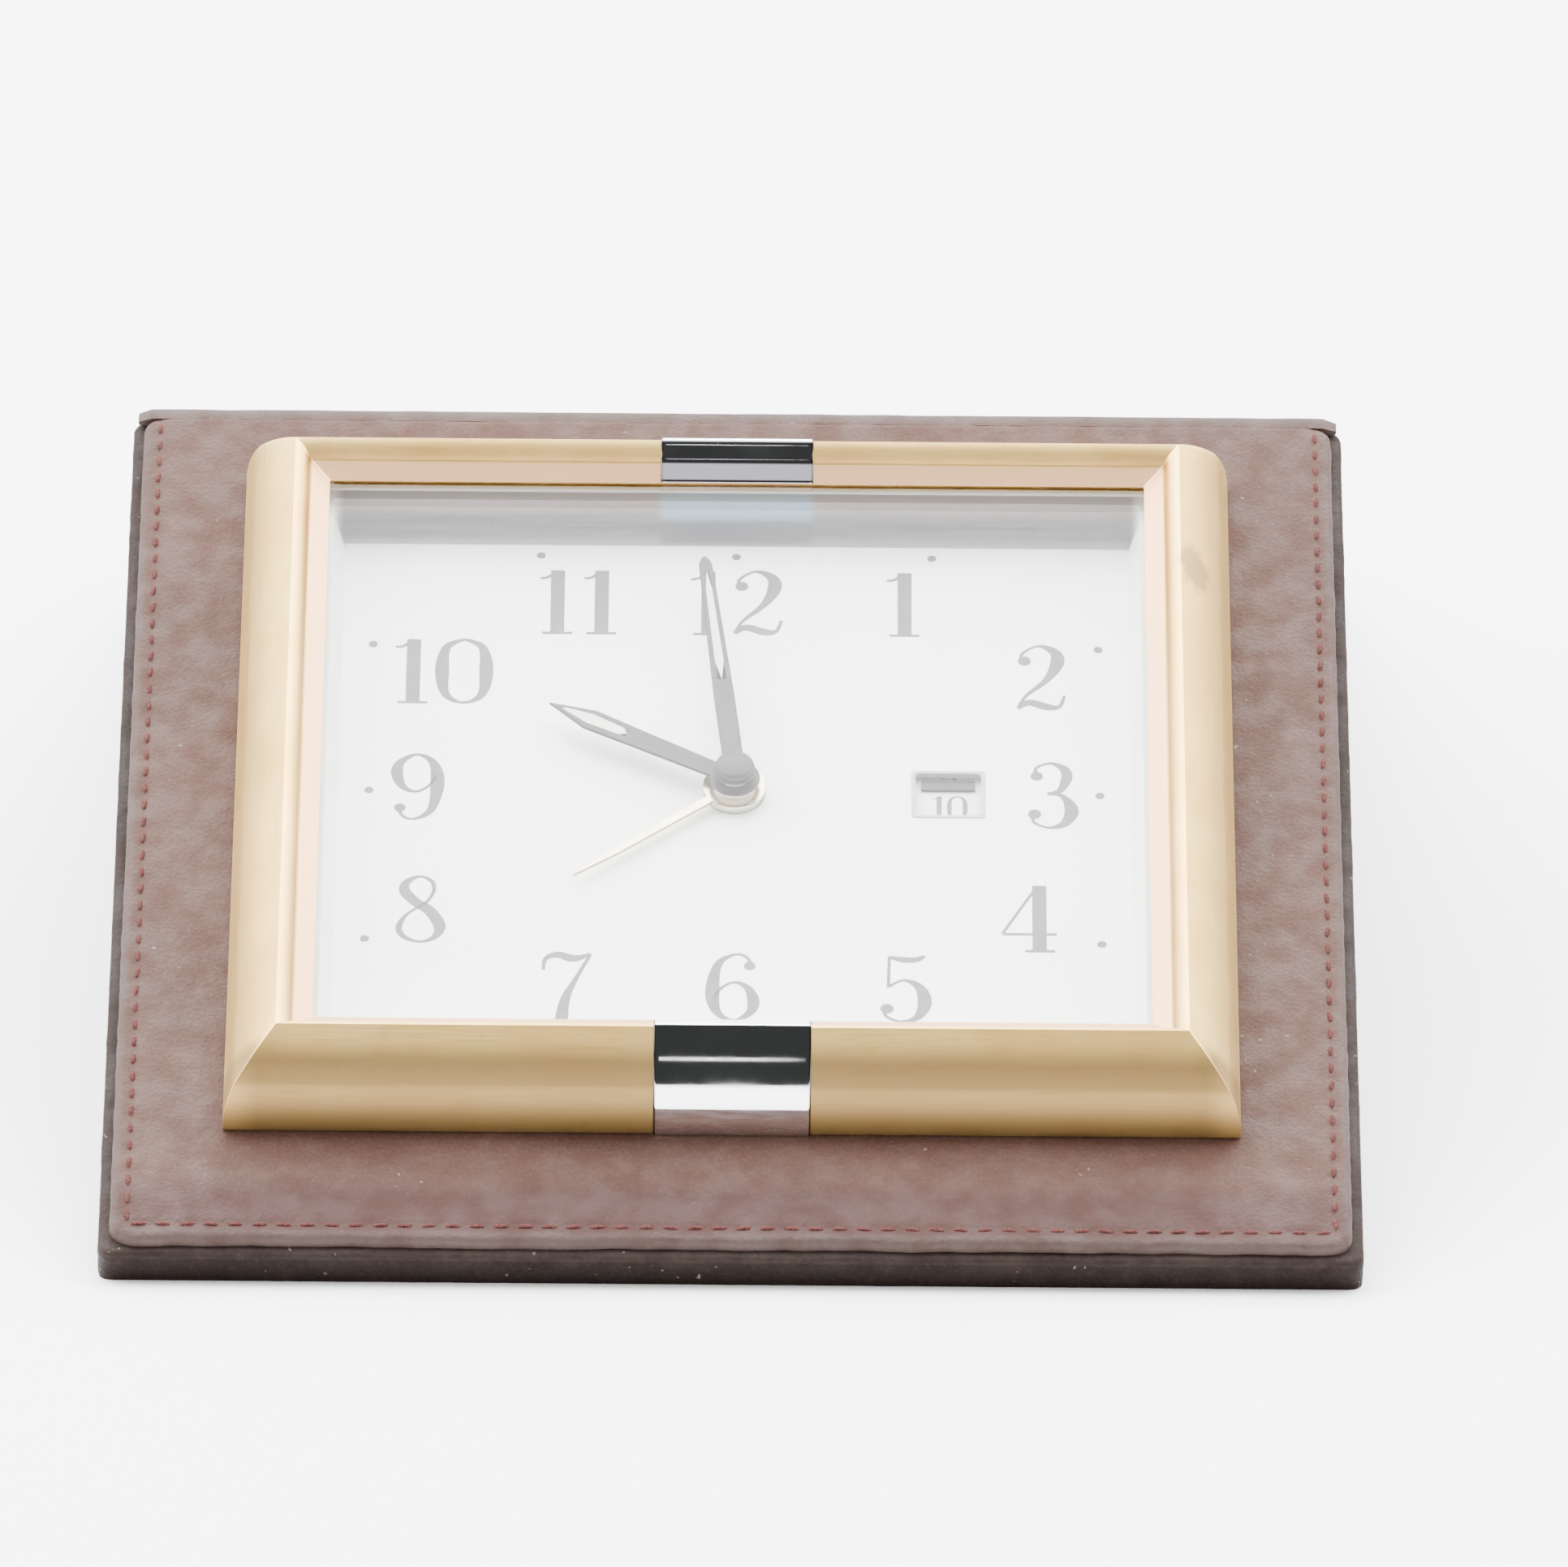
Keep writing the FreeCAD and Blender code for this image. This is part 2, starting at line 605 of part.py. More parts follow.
def hand_blade(outline, slot, low, hub, bore, pointing):
    """A flat hand drawn along +X, with an open slot and a round hub."""
    half = [(x, y) for x, y in outline]
    mirrored = [(x, -y) for x, y in reversed(outline) if y > 0]
    points = [Vector(x, y, low) for x, y in half + mirrored]
    blade = Part.Face(Part.makePolygon(points + [points[0]])).extrude(Vector(0, 0, mm("hand_thick")))
    blade = blade.fuse(rod(MIDDLE, hub, low, low + mm("hand_thick")))
    if slot:
        blade = blade.cut(slot_bar(slot, low))
    blade = blade.cut(rod(MIDDLE, bore, low, low + mm("hand_thick"))).removeSplitter()
    blade.rotate(Vector(0, 0, 0), OUT_OF_FACE, clock_angle(pointing))
    return blade


def slot_bar(slot, low):
    points = [Vector(x, y, low) for x, y in slot] + [Vector(x, -y, low) for x, y in reversed(slot) if y > 0]
    return Part.Face(Part.makePolygon(points + [points[0]])).extrude(Vector(0, 0, mm("hand_thick")))


def glow_bar(slot, low, pointing):
    bar = slot_bar(slot, low)
    bar.rotate(Vector(0, 0, 0), OUT_OF_FACE, clock_angle(pointing))
    return bar


def make_hands():
    long = mm("hour_long")
    hour_outline = [(0, 0.75), (long * 0.55, 1.05), (long * 0.78, 1.2), (long, 0)]
    hour_slot = [(long * 0.58, 0.45), (long * 0.78, 0.62), (long * 0.93, 0.12)]
    low = mm("hour_hand_up")
    shaped("hour_hand", hand_blade(hour_outline, hour_slot, low, 2.3, 1.9, HOUR_POINTS_AT))
    shaped("hour_glow", glow_bar(hour_slot, low, HOUR_POINTS_AT))
    long = mm("minute_long")
    minute_outline = [(0, 0.95), (long * 0.35, 0.95), (long * 0.97, 0.6), (long, 0.2)]
    minute_slot = [(long * 0.42, 0.42), (long * 0.93, 0.26)]
    low = mm("minute_hand_up")
    shaped("minute_hand", hand_blade(minute_outline, minute_slot, low, 1.9, 1.3, MINUTE_POINTS_AT))
    shaped("minute_glow", glow_bar(minute_slot, low, MINUTE_POINTS_AT))
    long = mm("alarm_long")
    alarm_outline = [(0, 0.5), (long * 0.75, 0.4), (long, 0.1)]
    low = mm("alarm_hand_up")
    shaped("alarm_hand", hand_blade(alarm_outline, None, low, 2.9, 2.5, ALARM_POINTS_AT))
    top = mm("minute_hand_up") + mm("hand_thick")
    cap = rod(MIDDLE, 1.75, top, top + 0.7)
    shaped("hand_cap", cap.makeFillet(0.3, top_edges(cap)))


def top_edges(shape):
    high = shape.BoundBox.ZMax
    return [edge for edge in shape.Edges if edge.BoundBox.ZMin > high - 1e-6]


# ---------------------------------------------------------------------------
# Motion work under the dial
# ---------------------------------------------------------------------------

def make_motion_work():
    thick = mm("wheel_thick")
    arbor, gap = mm("minute_arbor"), mm("running_gap")
    cannon_out = 1.3
    hour_in, hour_out = cannon_out + gap, 1.9
    alarm_in, alarm_out = hour_out + gap, 2.5
    teeth = MOTION_TEETH
    toward = direction(MIDDLE, MINUTE_WHEEL_AT)
    cannon_phase = toward
    wheel_phase = meshing_phase(cannon_phase, teeth["cannon"], teeth["minute"], toward)
    step_phase = direction(MINUTE_WHEEL_AT, MIDDLE)
    hour_phase = meshing_phase(step_phase, teeth["step_down"], teeth["hour"], step_phase)
    time_way = direction(MINUTE_WHEEL_AT, TIME_SHAFT_AT)
    time_phase = meshing_phase(wheel_phase, teeth["minute"], teeth["cannon"], time_way)
    alarm_way = direction(MIDDLE, ALARM_SHAFT_AT)
    alarm_phase = alarm_way
    set_phase = meshing_phase(alarm_phase, teeth["alarm"], teeth["alarm_set"], alarm_way)

    hand_top = mm("minute_hand_up") + mm("hand_thick")
    cannon = join([rod(MIDDLE, cannon_out, -2.8, hand_top),
                   gear(teeth["cannon"], MOTION, MIDDLE, -2.6, 0.7, cannon_phase)])
    shaped("cannon_pinion", cannon.cut(rod(MIDDLE, arbor, -3, hand_top + 1)))

    stub = rod(MINUTE_WHEEL_AT, mm("arbor_round"), -3.9, -0.6)
    wheel = gear(teeth["minute"], MOTION, MINUTE_WHEEL_AT, -2.5, thick, wheel_phase)
    leaf = gear(teeth["step_down"], STEP_MODULE, MINUTE_WHEEL_AT, -2.0, 1.3, step_phase)
    shaped("minute_wheel", join([stub, wheel, leaf]))

    tube = rod(MIDDLE, hour_out, -1.7, mm("hour_hand_up") + mm("hand_thick"))
    wheel = gear(teeth["hour"], STEP_MODULE, MIDDLE, -1.35, thick, hour_phase)
    shaped("hour_wheel", join([tube, wheel]).cut(rod(MIDDLE, hour_in, -2, 5)))

    tube = rod(MIDDLE, alarm_out, -0.6, mm("alarm_hand_up") + mm("hand_thick"))
    wheel = gear(teeth["alarm"], MOTION, MIDDLE, -0.5, thick, alarm_phase)
    shaped("alarm_wheel", join([tube, wheel]).cut(rod(MIDDLE, alarm_in, -2, 5)))

    knob_seat = -mm("case_back") + 0.4
    shaft = rod(TIME_SHAFT_AT, mm("shaft_round"), knob_seat, -1.8)
    pinion = gear(teeth["cannon"], MOTION, TIME_SHAFT_AT, -2.6, 0.7, time_phase)
    shaped("time_pinion", join([shaft, pinion]))
    shaft = rod(ALARM_SHAFT_AT, mm("shaft_round"), knob_seat, 0.1)
    pinion = gear(teeth["alarm_set"], MOTION, ALARM_SHAFT_AT, -0.6, 0.65, set_phase)
    shaped("alarm_pinion", join([shaft, pinion]))


# ---------------------------------------------------------------------------
# Going train, stepping motor and the plates that hold them
# ---------------------------------------------------------------------------

def make_going_train():
    teeth = TRAIN_TEETH
    fine, coarse = mm("train_module"), mm("centre_module")
    thin, thick = mm("arbor_round"), mm("wheel_thick")
    low, high = -mm("bridge_low") + 0.2, -mm("plate_top") - 0.2
    way = direction(MIDDLE, FIRST_WHEEL_AT)
    leaf_phase = meshing_phase(way, teeth["centre"], teeth["first_leaf"], way)
    second_way = direction(FIRST_WHEEL_AT, SECOND_WHEEL_AT)
    second_leaf = meshing_phase(second_way, teeth["first"], teeth["second_leaf"], second_way)
    rotor_way = direction(SECOND_WHEEL_AT, ROTOR_AT)
    rotor_phase = meshing_phase(rotor_way, teeth["second"], teeth["rotor"], rotor_way)

    hand_top = mm("minute_hand_up") + mm("hand_thick")
    centre = [rod(MIDDLE, mm("minute_arbor"), -8.4, hand_top), rod(MIDDLE, thin, low, -8.4),
              gear(teeth["centre"], coarse, MIDDLE, -5.0, thick, way)]
    shaped("centre_wheel", join(centre))
    first = [rod(FIRST_WHEEL_AT, thin, low, high),
             gear(teeth["first_leaf"], coarse, FIRST_WHEEL_AT, -5.1, 0.7, leaf_phase),
             gear(teeth["first"], fine, FIRST_WHEEL_AT, -6.5, thick, second_way)]
    shaped("first_wheel", join(first))
    second = [rod(SECOND_WHEEL_AT, thin, low, high),
              gear(teeth["second_leaf"], fine, SECOND_WHEEL_AT, -6.6, 0.7, second_leaf),
              gear(teeth["second"], fine, SECOND_WHEEL_AT, -7.7, thick, rotor_way)]
    shaped("second_wheel", join(second))
    rotor = [rod(ROTOR_AT, thin, low, high), rod(ROTOR_AT, 2.3, -6.1, -4.6),
             gear(teeth["rotor"], fine, ROTOR_AT, -7.8, 0.7, rotor_phase)]
    shaped("step_rotor", join(rotor))


def make_plates():
    body = new_body("main_plate")
    sketch = new_sketch(body, "-(plate_top + plate_thick)")
    draw_frame(sketch, "dial_half", "dial_high")
    draw_circle(sketch, MIDDLE, "minute_arbor + running_gap")
    for spot in (MINUTE_WHEEL_AT, FIRST_WHEEL_AT, SECOND_WHEEL_AT, ROTOR_AT):
        draw_circle(sketch, spot, "arbor_round + running_gap")
    for spot in (TIME_SHAFT_AT, ALARM_SHAFT_AT):
        draw_circle(sketch, spot, "shaft_round + running_gap")
    draw_box(sketch, "-33.5", "-25.5", "-13", "7")
    add_pad(body, sketch, "plate_thick")
    seat = new_sketch(body, "-6.2")
    draw_circle(seat, BATTERY_AT, "battery_round - 1")
    add_pad(body, seat, "6.2 - plate_top - plate_thick")

    bridge = new_body("train_bridge")
    sketch = new_sketch(bridge, "-bridge_low")
    draw_box(sketch, "-19", "6", "-11.5", "18.5")
    for spot in (MIDDLE, FIRST_WHEEL_AT, SECOND_WHEEL_AT, ROTOR_AT):
        draw_circle(sketch, spot, "arbor_round + running_gap")
    draw_circle(sketch, TIME_SHAFT_AT, "shaft_round + 0.4")
    for spot in POSTS_AT:
        draw_circle(sketch, spot, "0.6")
    add_pad(bridge, sketch, "bridge_thick")

    low, high = -mm("bridge_low") + mm("bridge_thick"), -mm("plate_top") - mm("plate_thick")
    posts = [ring(spot, mm("post_round"), 0.6, low, high) for spot in POSTS_AT]
    posts += [rod(spot, mm("post_round"), -7.8, high) for spot in BOARD_POSTS_AT]
    posts += [rod(spot, mm("post_round"), -4.9, high) for spot in STATOR_POSTS_AT]
    shaped("plate_posts", Part.makeCompound(posts))
    screws = []
    for spot in POSTS_AT:
        head = rod(spot, 1.5, low - mm("bridge_thick") - 0.45, low - mm("bridge_thick"))
        slot = block(spot[0] - 1.6, spot[0] + 1.6, spot[1] - 0.2, spot[1] + 0.2, -11, low - 1.05)
        screws.append(join([head, rod(spot, 0.6, low - mm("bridge_thick"), high - 0.2)]).cut(slot))
    shaped("bridge_screws", Part.makeCompound(screws))


def make_motor():
    stator = block(-31, -10.8, 7.5, 16.5, -5.7, -4.9).cut(rod(ROTOR_AT, 2.7, -6, -4))
    leg = block(-31, -28, -14, 7.5, -5.7, -4.9)
    shaped("stator", join([stator, leg]))
    tube = block(-32.0, -27.0, -12, 6, -6.8, -3.8)
    ends = [block(-32.8, -26.2, low, low + 0.8, -7.5, -3.15) for low in (-12, 5.2)]
    bobbin = join([tube] + ends).cut(block(-31, -28, -15, 8, -5.7, -4.9))
    shaped("coil_bobbin", bobbin)
    winding = block(-32.7, -26.3, -11.2, 5.2, -7.4, -3.25).cut(tube)
    shaped("coil_winding", winding)


# ---------------------------------------------------------------------------
# Circuit, battery and buzzer
# ---------------------------------------------------------------------------

def make_circuit():
    body = new_body("circuit_board")
    sketch = new_sketch(body, "-8.4")
    draw_box(sketch, "11", "34", "6.5", "31.5")
    add_pad(body, sketch, "0.6")
    shaped("clock_chip", block(15, 21, 16, 21, -7.8, -6.9))
    can = Part.makeCylinder(1.0, 6.5, Vector(27, 15, -6.8), Vector(0, 1, 0))
    shaped("quartz_can", can)


def make_battery():
    low, thick = -9.7, mm("battery_thick")
    cell = rod(BATTERY_AT, mm("battery_round"), low, low + thick)
    cell = cell.makeFillet(0.4, [edge for edge in cell.Edges if len(edge.Vertexes) == 1])
    shaped("coin_cell", cell)
    top = low + thick
    pad = block(20, 28, -24, -16, top, top + 0.3)
    arm = block(22.5, 25.5, -16, 8, top, top + 0.3)
    foot = block(22.5, 25.5, 7.4, 8, -7.8, top)
    shaped("negative_contact", join([pad, arm, foot]))
    strip = block(34.2, 34.6, -27, 9, -9.3, -7.0)
    tab = block(33.0, 34.2, 8.4, 9, -7.8, -7.0)
    shaped("positive_contact", join([strip, tab]))


def make_buzzer():
    outer = mm("buzzer_round")
    low = -mm("case_back") + mm("cover_thick")
    cup = rod(BUZZER_AT, outer, low, -6.2).cut(rod(BUZZER_AT, outer - 0.8, low, -7.2))
    shaped("buzzer_cup", cup)
    shaped("buzzer_disc", rod(BUZZER_AT, outer - 0.8, -9.3, -9.0))


# ---------------------------------------------------------------------------
# Clock case, back cover and controls
# ---------------------------------------------------------------------------

def make_case():
    body = new_body("clock_case")
    sketch = new_sketch(body, "-case_back")
    draw_frame(sketch, "case_half", "case_high")
    draw_frame(sketch, "case_half - case_wall", "case_high - case_wall")
    add_pad(body, sketch, "case_back + flange_thick")
    flange = new_sketch(body, "0")
    draw_frame(flange, "case_half + flange_wide", "case_high + flange_wide")
    draw_frame(flange, "case_half - case_wall", "case_high - case_wall")
    add_pad(body, flange, "flange_thick")
    bosses = new_sketch(body, "-(case_back - cover_thick)")
    for side in (-1, 1):
        for end in (-1, 1):
            across = ["%d * (case_half - case_wall)" % side, "%d * (case_half - boss_size)" % side]
            along = ["%d * (case_high - case_wall)" % end, "%d * (case_high - boss_size)" % end]
            draw_box(bosses, *(across if side < 0 else across[::-1]), *(along if end < 0 else along[::-1]))
    for spot in COVER_SCREWS_AT:
        draw_circle(bosses, spot, "0.9")
    add_pad(body, bosses, "case_back - cover_thick - plate_top - plate_thick")

    clamp = new_body("clamp_frame")
    sketch = new_sketch(clamp, "-(leaf_back + clamp_thick)")
    draw_frame(sketch, "case_half + clamp_wide", "case_high + clamp_wide")
    draw_frame(sketch, "case_half", "case_high")
    for spot in CLAMP_SCREWS_AT:
        draw_circle(sketch, spot, "0.7")
    add_pad(clamp, sketch, "clamp_thick")
    seat = -mm("leaf_back") - mm("clamp_thick")
    screws = [domed_screw(spot, 1.6, 0.7, seat, -mm("face_skin") - 0.4) for spot in CLAMP_SCREWS_AT]
    shaped("clamp_screws", Part.makeCompound(screws))


def domed_screw(spot, head, shank, seat, end):
    """Screw driven toward +Z with a low rounded head and one slot."""
    cap = rod(spot, head, seat - 0.7, seat)
    rim = [edge for edge in cap.Edges if edge.BoundBox.ZMax < seat - 0.6]
    cap = cap.makeFillet(0.35, rim)
    slot = block(spot[0] - head, spot[0] + head, spot[1] - 0.2, spot[1] + 0.2, seat - 1, seat - 0.35)
    return join([cap.cut(slot), rod(spot, shank, seat, end)])


def make_back_cover():
    back, inside = -mm("case_back"), -mm("case_back") + mm("cover_thick")
    body = new_body("back_cover")
    sketch = new_sketch(body, "-case_back")
    draw_frame(sketch, "case_half - case_wall - 0.1", "case_high - case_wall - 0.1")
    draw_circle(sketch, BATTERY_AT, "door_round + 0.3")
    for spot in (TIME_SHAFT_AT, ALARM_SHAFT_AT):
        draw_circle(sketch, spot, "shaft_round + running_gap")
    draw_circle(sketch, BUTTON_AT, "button_round + 0.15")
    for spot in COVER_SCREWS_AT:
        draw_circle(sketch, spot, "0.9")
    slot_low, slot_high = SWITCH_AT[1] - 1.3, SWITCH_AT[1] + 1.3
    left = SWITCH_AT[0] - 2.3
    draw_box(sketch, "%.3f" % left, "%.3f + switch_travel" % (SWITCH_AT[0] + 2.3),
             "%.3f" % slot_low, "%.3f" % slot_high)
    for number in range(6):
        draw_circle(sketch, polar(60 * number, 3.6, BUZZER_AT), "0.7")
    draw_circle(sketch, BUZZER_AT, "0.7")
    add_pad(body, sketch, "cover_thick")
    wells = new_sketch(body, "-case_back + 0.5")
    for spot in (TIME_SHAFT_AT, ALARM_SHAFT_AT):
        draw_circle(wells, spot, "knob_round + 0.6")
    for spot in COVER_SCREWS_AT:
        draw_circle(wells, spot, "1.9")
    add_pocket(body, wells, "0.5")

    screws = [domed_screw(spot, 1.7, 0.9, back + 0.5, -mm("plate_top") - mm("plate_thick") - 0.3)
              for spot in COVER_SCREWS_AT]
    shaped("back_screws", Part.makeCompound(screws))

    door = rod(BATTERY_AT, mm("door_round"), back, inside - 0.1)
    coin_slot = block(BATTERY_AT[0] - 5, BATTERY_AT[0] + 5, BATTERY_AT[1] - 0.8, BATTERY_AT[1] + 0.8,
                      back - 1, back + 0.7)
    lugs = block(BATTERY_AT[0] - 12.3, BATTERY_AT[0] + 12.3, BATTERY_AT[1] - 1.6, BATTERY_AT[1] + 1.6,
                 inside + 0.05, inside + 0.3)
    lugs = lugs.common(rod(BATTERY_AT, 12.3, -12, -9)).cut(rod(BATTERY_AT, 10.3, -12, -9))
    necks = lugs.copy()
    necks.translate(Vector(0, 0, -0.25))
    necks = necks.common(rod(BATTERY_AT, mm("door_round"), -12, -9))
    door = join([door.cut(coin_slot), necks, lugs])
    door.rotate(Vector(BATTERY_AT[0], BATTERY_AT[1], 0), OUT_OF_FACE, -60)
    shaped("battery_door", door)


def make_knob(label, spot):
    """Setting knob with a fluted rim and a ring groove on its face."""
    back = -mm("case_back")
    low = back + 0.5 - 0.1 - mm("knob_thick")
    knob = rod(spot, mm("knob_round"), low, back + 0.4)
    flutes = 20
    for number in range(flutes):
        flute = polar(360 * number / flutes, mm("knob_round") + 0.25, spot)
        knob = knob.cut(rod(flute, 0.55, low - 1, back + 1))
    knob = knob.cut(ring(spot, 3.4, 2.8, low - 1, low + 0.3))
    shaped(label, knob)


def make_controls():
    back, inside = -mm("case_back"), -mm("case_back") + mm("cover_thick")
    make_knob("time_knob", TIME_SHAFT_AT)
    make_knob("alarm_knob", ALARM_SHAFT_AT)
    stem = rod(BUTTON_AT, mm("button_round"), back - 1.3, inside + 0.1)
    collar = rod(BUTTON_AT, mm("button_round") + 0.8, inside + 0.05, inside + 0.55)
    shaped("date_button", join([stem, collar]))
    x, y = SWITCH_AT
    neck = block(x - 2, x + 2, y - 1.1, y + 1.1, back - 0.1, inside + 0.1)
    plate = block(x - 4, x + 4, y - 2, y + 2, inside + 0.1, inside + 0.6)
    grip = block(x - 2.8, x + 2.8, y - 1.8, y + 1.8, back - 0.9, back - 0.1)
    for groove in (-1.4, 0, 1.4):
        grip = grip.cut(block(x + groove - 0.25, x + groove + 0.25, y - 2, y + 2, back - 1, back - 0.6))
    shaped("alarm_switch", join([neck, plate, grip]))


# ---------------------------------------------------------------------------
# Spine and cover leaf
# ---------------------------------------------------------------------------

def make_spine():
    body = new_body("spine_leather")
    sketch = new_sketch(body, "-spine_long - spine_thick / 2 + hinge_gap / 2")
    draw_box(sketch, "-leaf_half", "leaf_half", "leaf_top + 0.02", "leaf_top + spine_thick + 0.02")
    add_pad(body, sketch, "spine_long - hinge_gap")


def make_cover():
    """Second leaf: a binding tray that holds the board, with a face leather over both."""
    binding = new_body("cover_binding", COVER)
    sketch = new_sketch(binding, "-cover_down")
    draw_box(sketch, "-cover_half", "cover_half", "hinge_gap", "cover_long")
    add_pad(binding, sketch, "cover_up - lining_thick + cover_down")
    tray = new_sketch(binding, "cover_up - lining_thick")
    draw_cover_core(tray)
    add_pocket(binding, tray, "cover_up - lining_thick + cover_down - 0.8")
    round_edges(binding, "binding_round", far_corner(mm("cover_long") - 0.01))
    foot = new_sketch(binding, "0", "YZ_Plane")
    height = mm("foot_flat") / 2
    low, far = -mm("cover_down"), mm("cover_long")
    along, across = height / math.sin(COVER_SLOPE), height / math.cos(COVER_SLOPE)
    draw_outline(foot, [(far - along, low), (far - along, low - 2), (far + 2, low - 2),
                        (far + 2, low + across + 2 * math.tan(COVER_SLOPE))])
    add_pocket_both_ways(binding, foot, "cover_half * 2 + 4")

    board = new_body("cover_board", COVER)
    sketch = new_sketch(board, "-cover_down + 0.8")
    draw_cover_core(sketch)
    add_pad(board, sketch, "cover_up - lining_thick + cover_down - 0.8")

    face = new_body("cover_leather", COVER)
    sketch = new_sketch(face, "cover_up - lining_thick")
    draw_box(sketch, "-face_half", "face_half", "hinge_gap + 0.5", "cover_long - 1.0")
    add_pad(face, sketch, "lining_thick")
    round_edges(face, "face_round", far_corner(mm("cover_long") - 1.01))


def draw_cover_core(sketch):
    draw_box(sketch, "-(cover_half - cover_wall)", "cover_half - cover_wall",
             "hinge_gap + cover_wall", "cover_long - cover_wall")


def far_corner(beyond):
    """Pick straight edges along Z farther from the spine than this."""
    def wanted(edge):
        box = edge.BoundBox
        return box.ZLength > 0.3 and box.XLength + box.YLength < 1e-6 and box.YMin > beyond
    return wanted


# ---------------------------------------------------------------------------
# Build, check and write every piece
# ---------------------------------------------------------------------------

make_front_board()
make_front_binding()
make_face_leather()
make_stitching()
make_bezel()
make_glass()
make_dial_surround()
make_dial()
make_date_ring()
make_hands()
make_motion_work()
make_going_train()
make_plates()
make_motor()
make_circuit()
make_battery()
make_buzzer()
make_case()
make_back_cover()
make_controls()
make_spine()
make_cover()
doc.recompute()

for item in doc.Objects:
    if "Invalid" in item.State or "Error" in item.State:
        raise RuntimeError("%s is not up to date: %s" % (item.Label, item.State))
os.makedirs("parts", exist_ok=True)
for piece in pieces:
    if piece.Shape.isNull() or not piece.Shape.isValid():
        raise RuntimeError(piece.Label + " has no valid shape")
    piece.Shape.exportStep("parts/%s.step" % piece.Label)
    print("%-18s %10.2f mm3 %3d solids" % (piece.Label, piece.Shape.Volume, len(piece.Shape.Solids)))
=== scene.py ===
import json
import math
import random
import bmesh
import bpy
from mathutils import Matrix, Vector, noise


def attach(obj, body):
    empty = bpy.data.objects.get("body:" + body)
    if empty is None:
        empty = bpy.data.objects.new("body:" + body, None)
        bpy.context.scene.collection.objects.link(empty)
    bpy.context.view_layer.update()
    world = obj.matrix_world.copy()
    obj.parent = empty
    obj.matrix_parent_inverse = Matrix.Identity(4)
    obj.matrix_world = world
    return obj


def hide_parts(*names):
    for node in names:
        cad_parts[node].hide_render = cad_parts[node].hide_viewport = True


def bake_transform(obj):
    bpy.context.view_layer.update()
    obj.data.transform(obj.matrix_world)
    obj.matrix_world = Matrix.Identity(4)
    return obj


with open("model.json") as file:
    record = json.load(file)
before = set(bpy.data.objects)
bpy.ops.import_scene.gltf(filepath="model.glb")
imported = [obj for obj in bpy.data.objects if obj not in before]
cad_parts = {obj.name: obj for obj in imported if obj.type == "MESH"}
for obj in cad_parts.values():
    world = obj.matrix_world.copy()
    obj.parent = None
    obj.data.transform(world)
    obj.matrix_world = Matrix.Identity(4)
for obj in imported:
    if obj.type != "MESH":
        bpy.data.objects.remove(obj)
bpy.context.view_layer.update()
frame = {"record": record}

# Every length below is in millimetres of the clock frame unless it says otherwise: X right, Y up the
# face, Z out of the face, origin at the dial centre on the leather. FACE and BACK carry it to metres.

MM = 0.001
random.seed(7)

joints = {joint["name"]: joint for joint in frame["record"]["behaviour"]["joints"]}
colours = {entry["slot"]: entry["base_color"] for entry in frame["record"]["materials"]}


def placed(origin, turn):
    """Matrix from millimetres in a local frame, turned about X, to metres in the object's frame."""
    return Matrix.Translation(Vector(origin)) @ Matrix.Rotation(turn, 4, "X") @ Matrix.Scale(MM, 4)


normal = joints["minute_spin"]["axis"]
LEAN = math.atan2(-normal[1], normal[2])
SLOPE = math.radians(joints["cover_hinge"]["range_deg"][1]) - LEAN
FACE = placed(joints["minute_spin"]["pos_m"], LEAN)
BACK = placed(joints["cover_hinge"]["pos_m"], -SLOPE)


# ---- Camera ----

ELEVATION = math.radians(19.2)
DISTANCE = 1.56
VIEW_WIDTH = 0.142  # metres across the picture at the aim point
ROLL = math.radians(-0.5)
aim = FACE @ Vector((0, -1.0, 3.0))
camera = bpy.data.objects.new("camera", bpy.data.cameras.new("camera"))
bpy.context.scene.collection.objects.link(camera)
camera.location = aim + DISTANCE * Vector((0, -math.cos(ELEVATION), math.sin(ELEVATION)))
camera.rotation_euler = (math.pi / 2 - ELEVATION, ROLL, 0)
camera.data.lens = camera.data.sensor_width * DISTANCE / VIEW_WIDTH
camera.data.clip_start = 0.05
bpy.context.scene.camera = camera


# ---- Material helpers ----

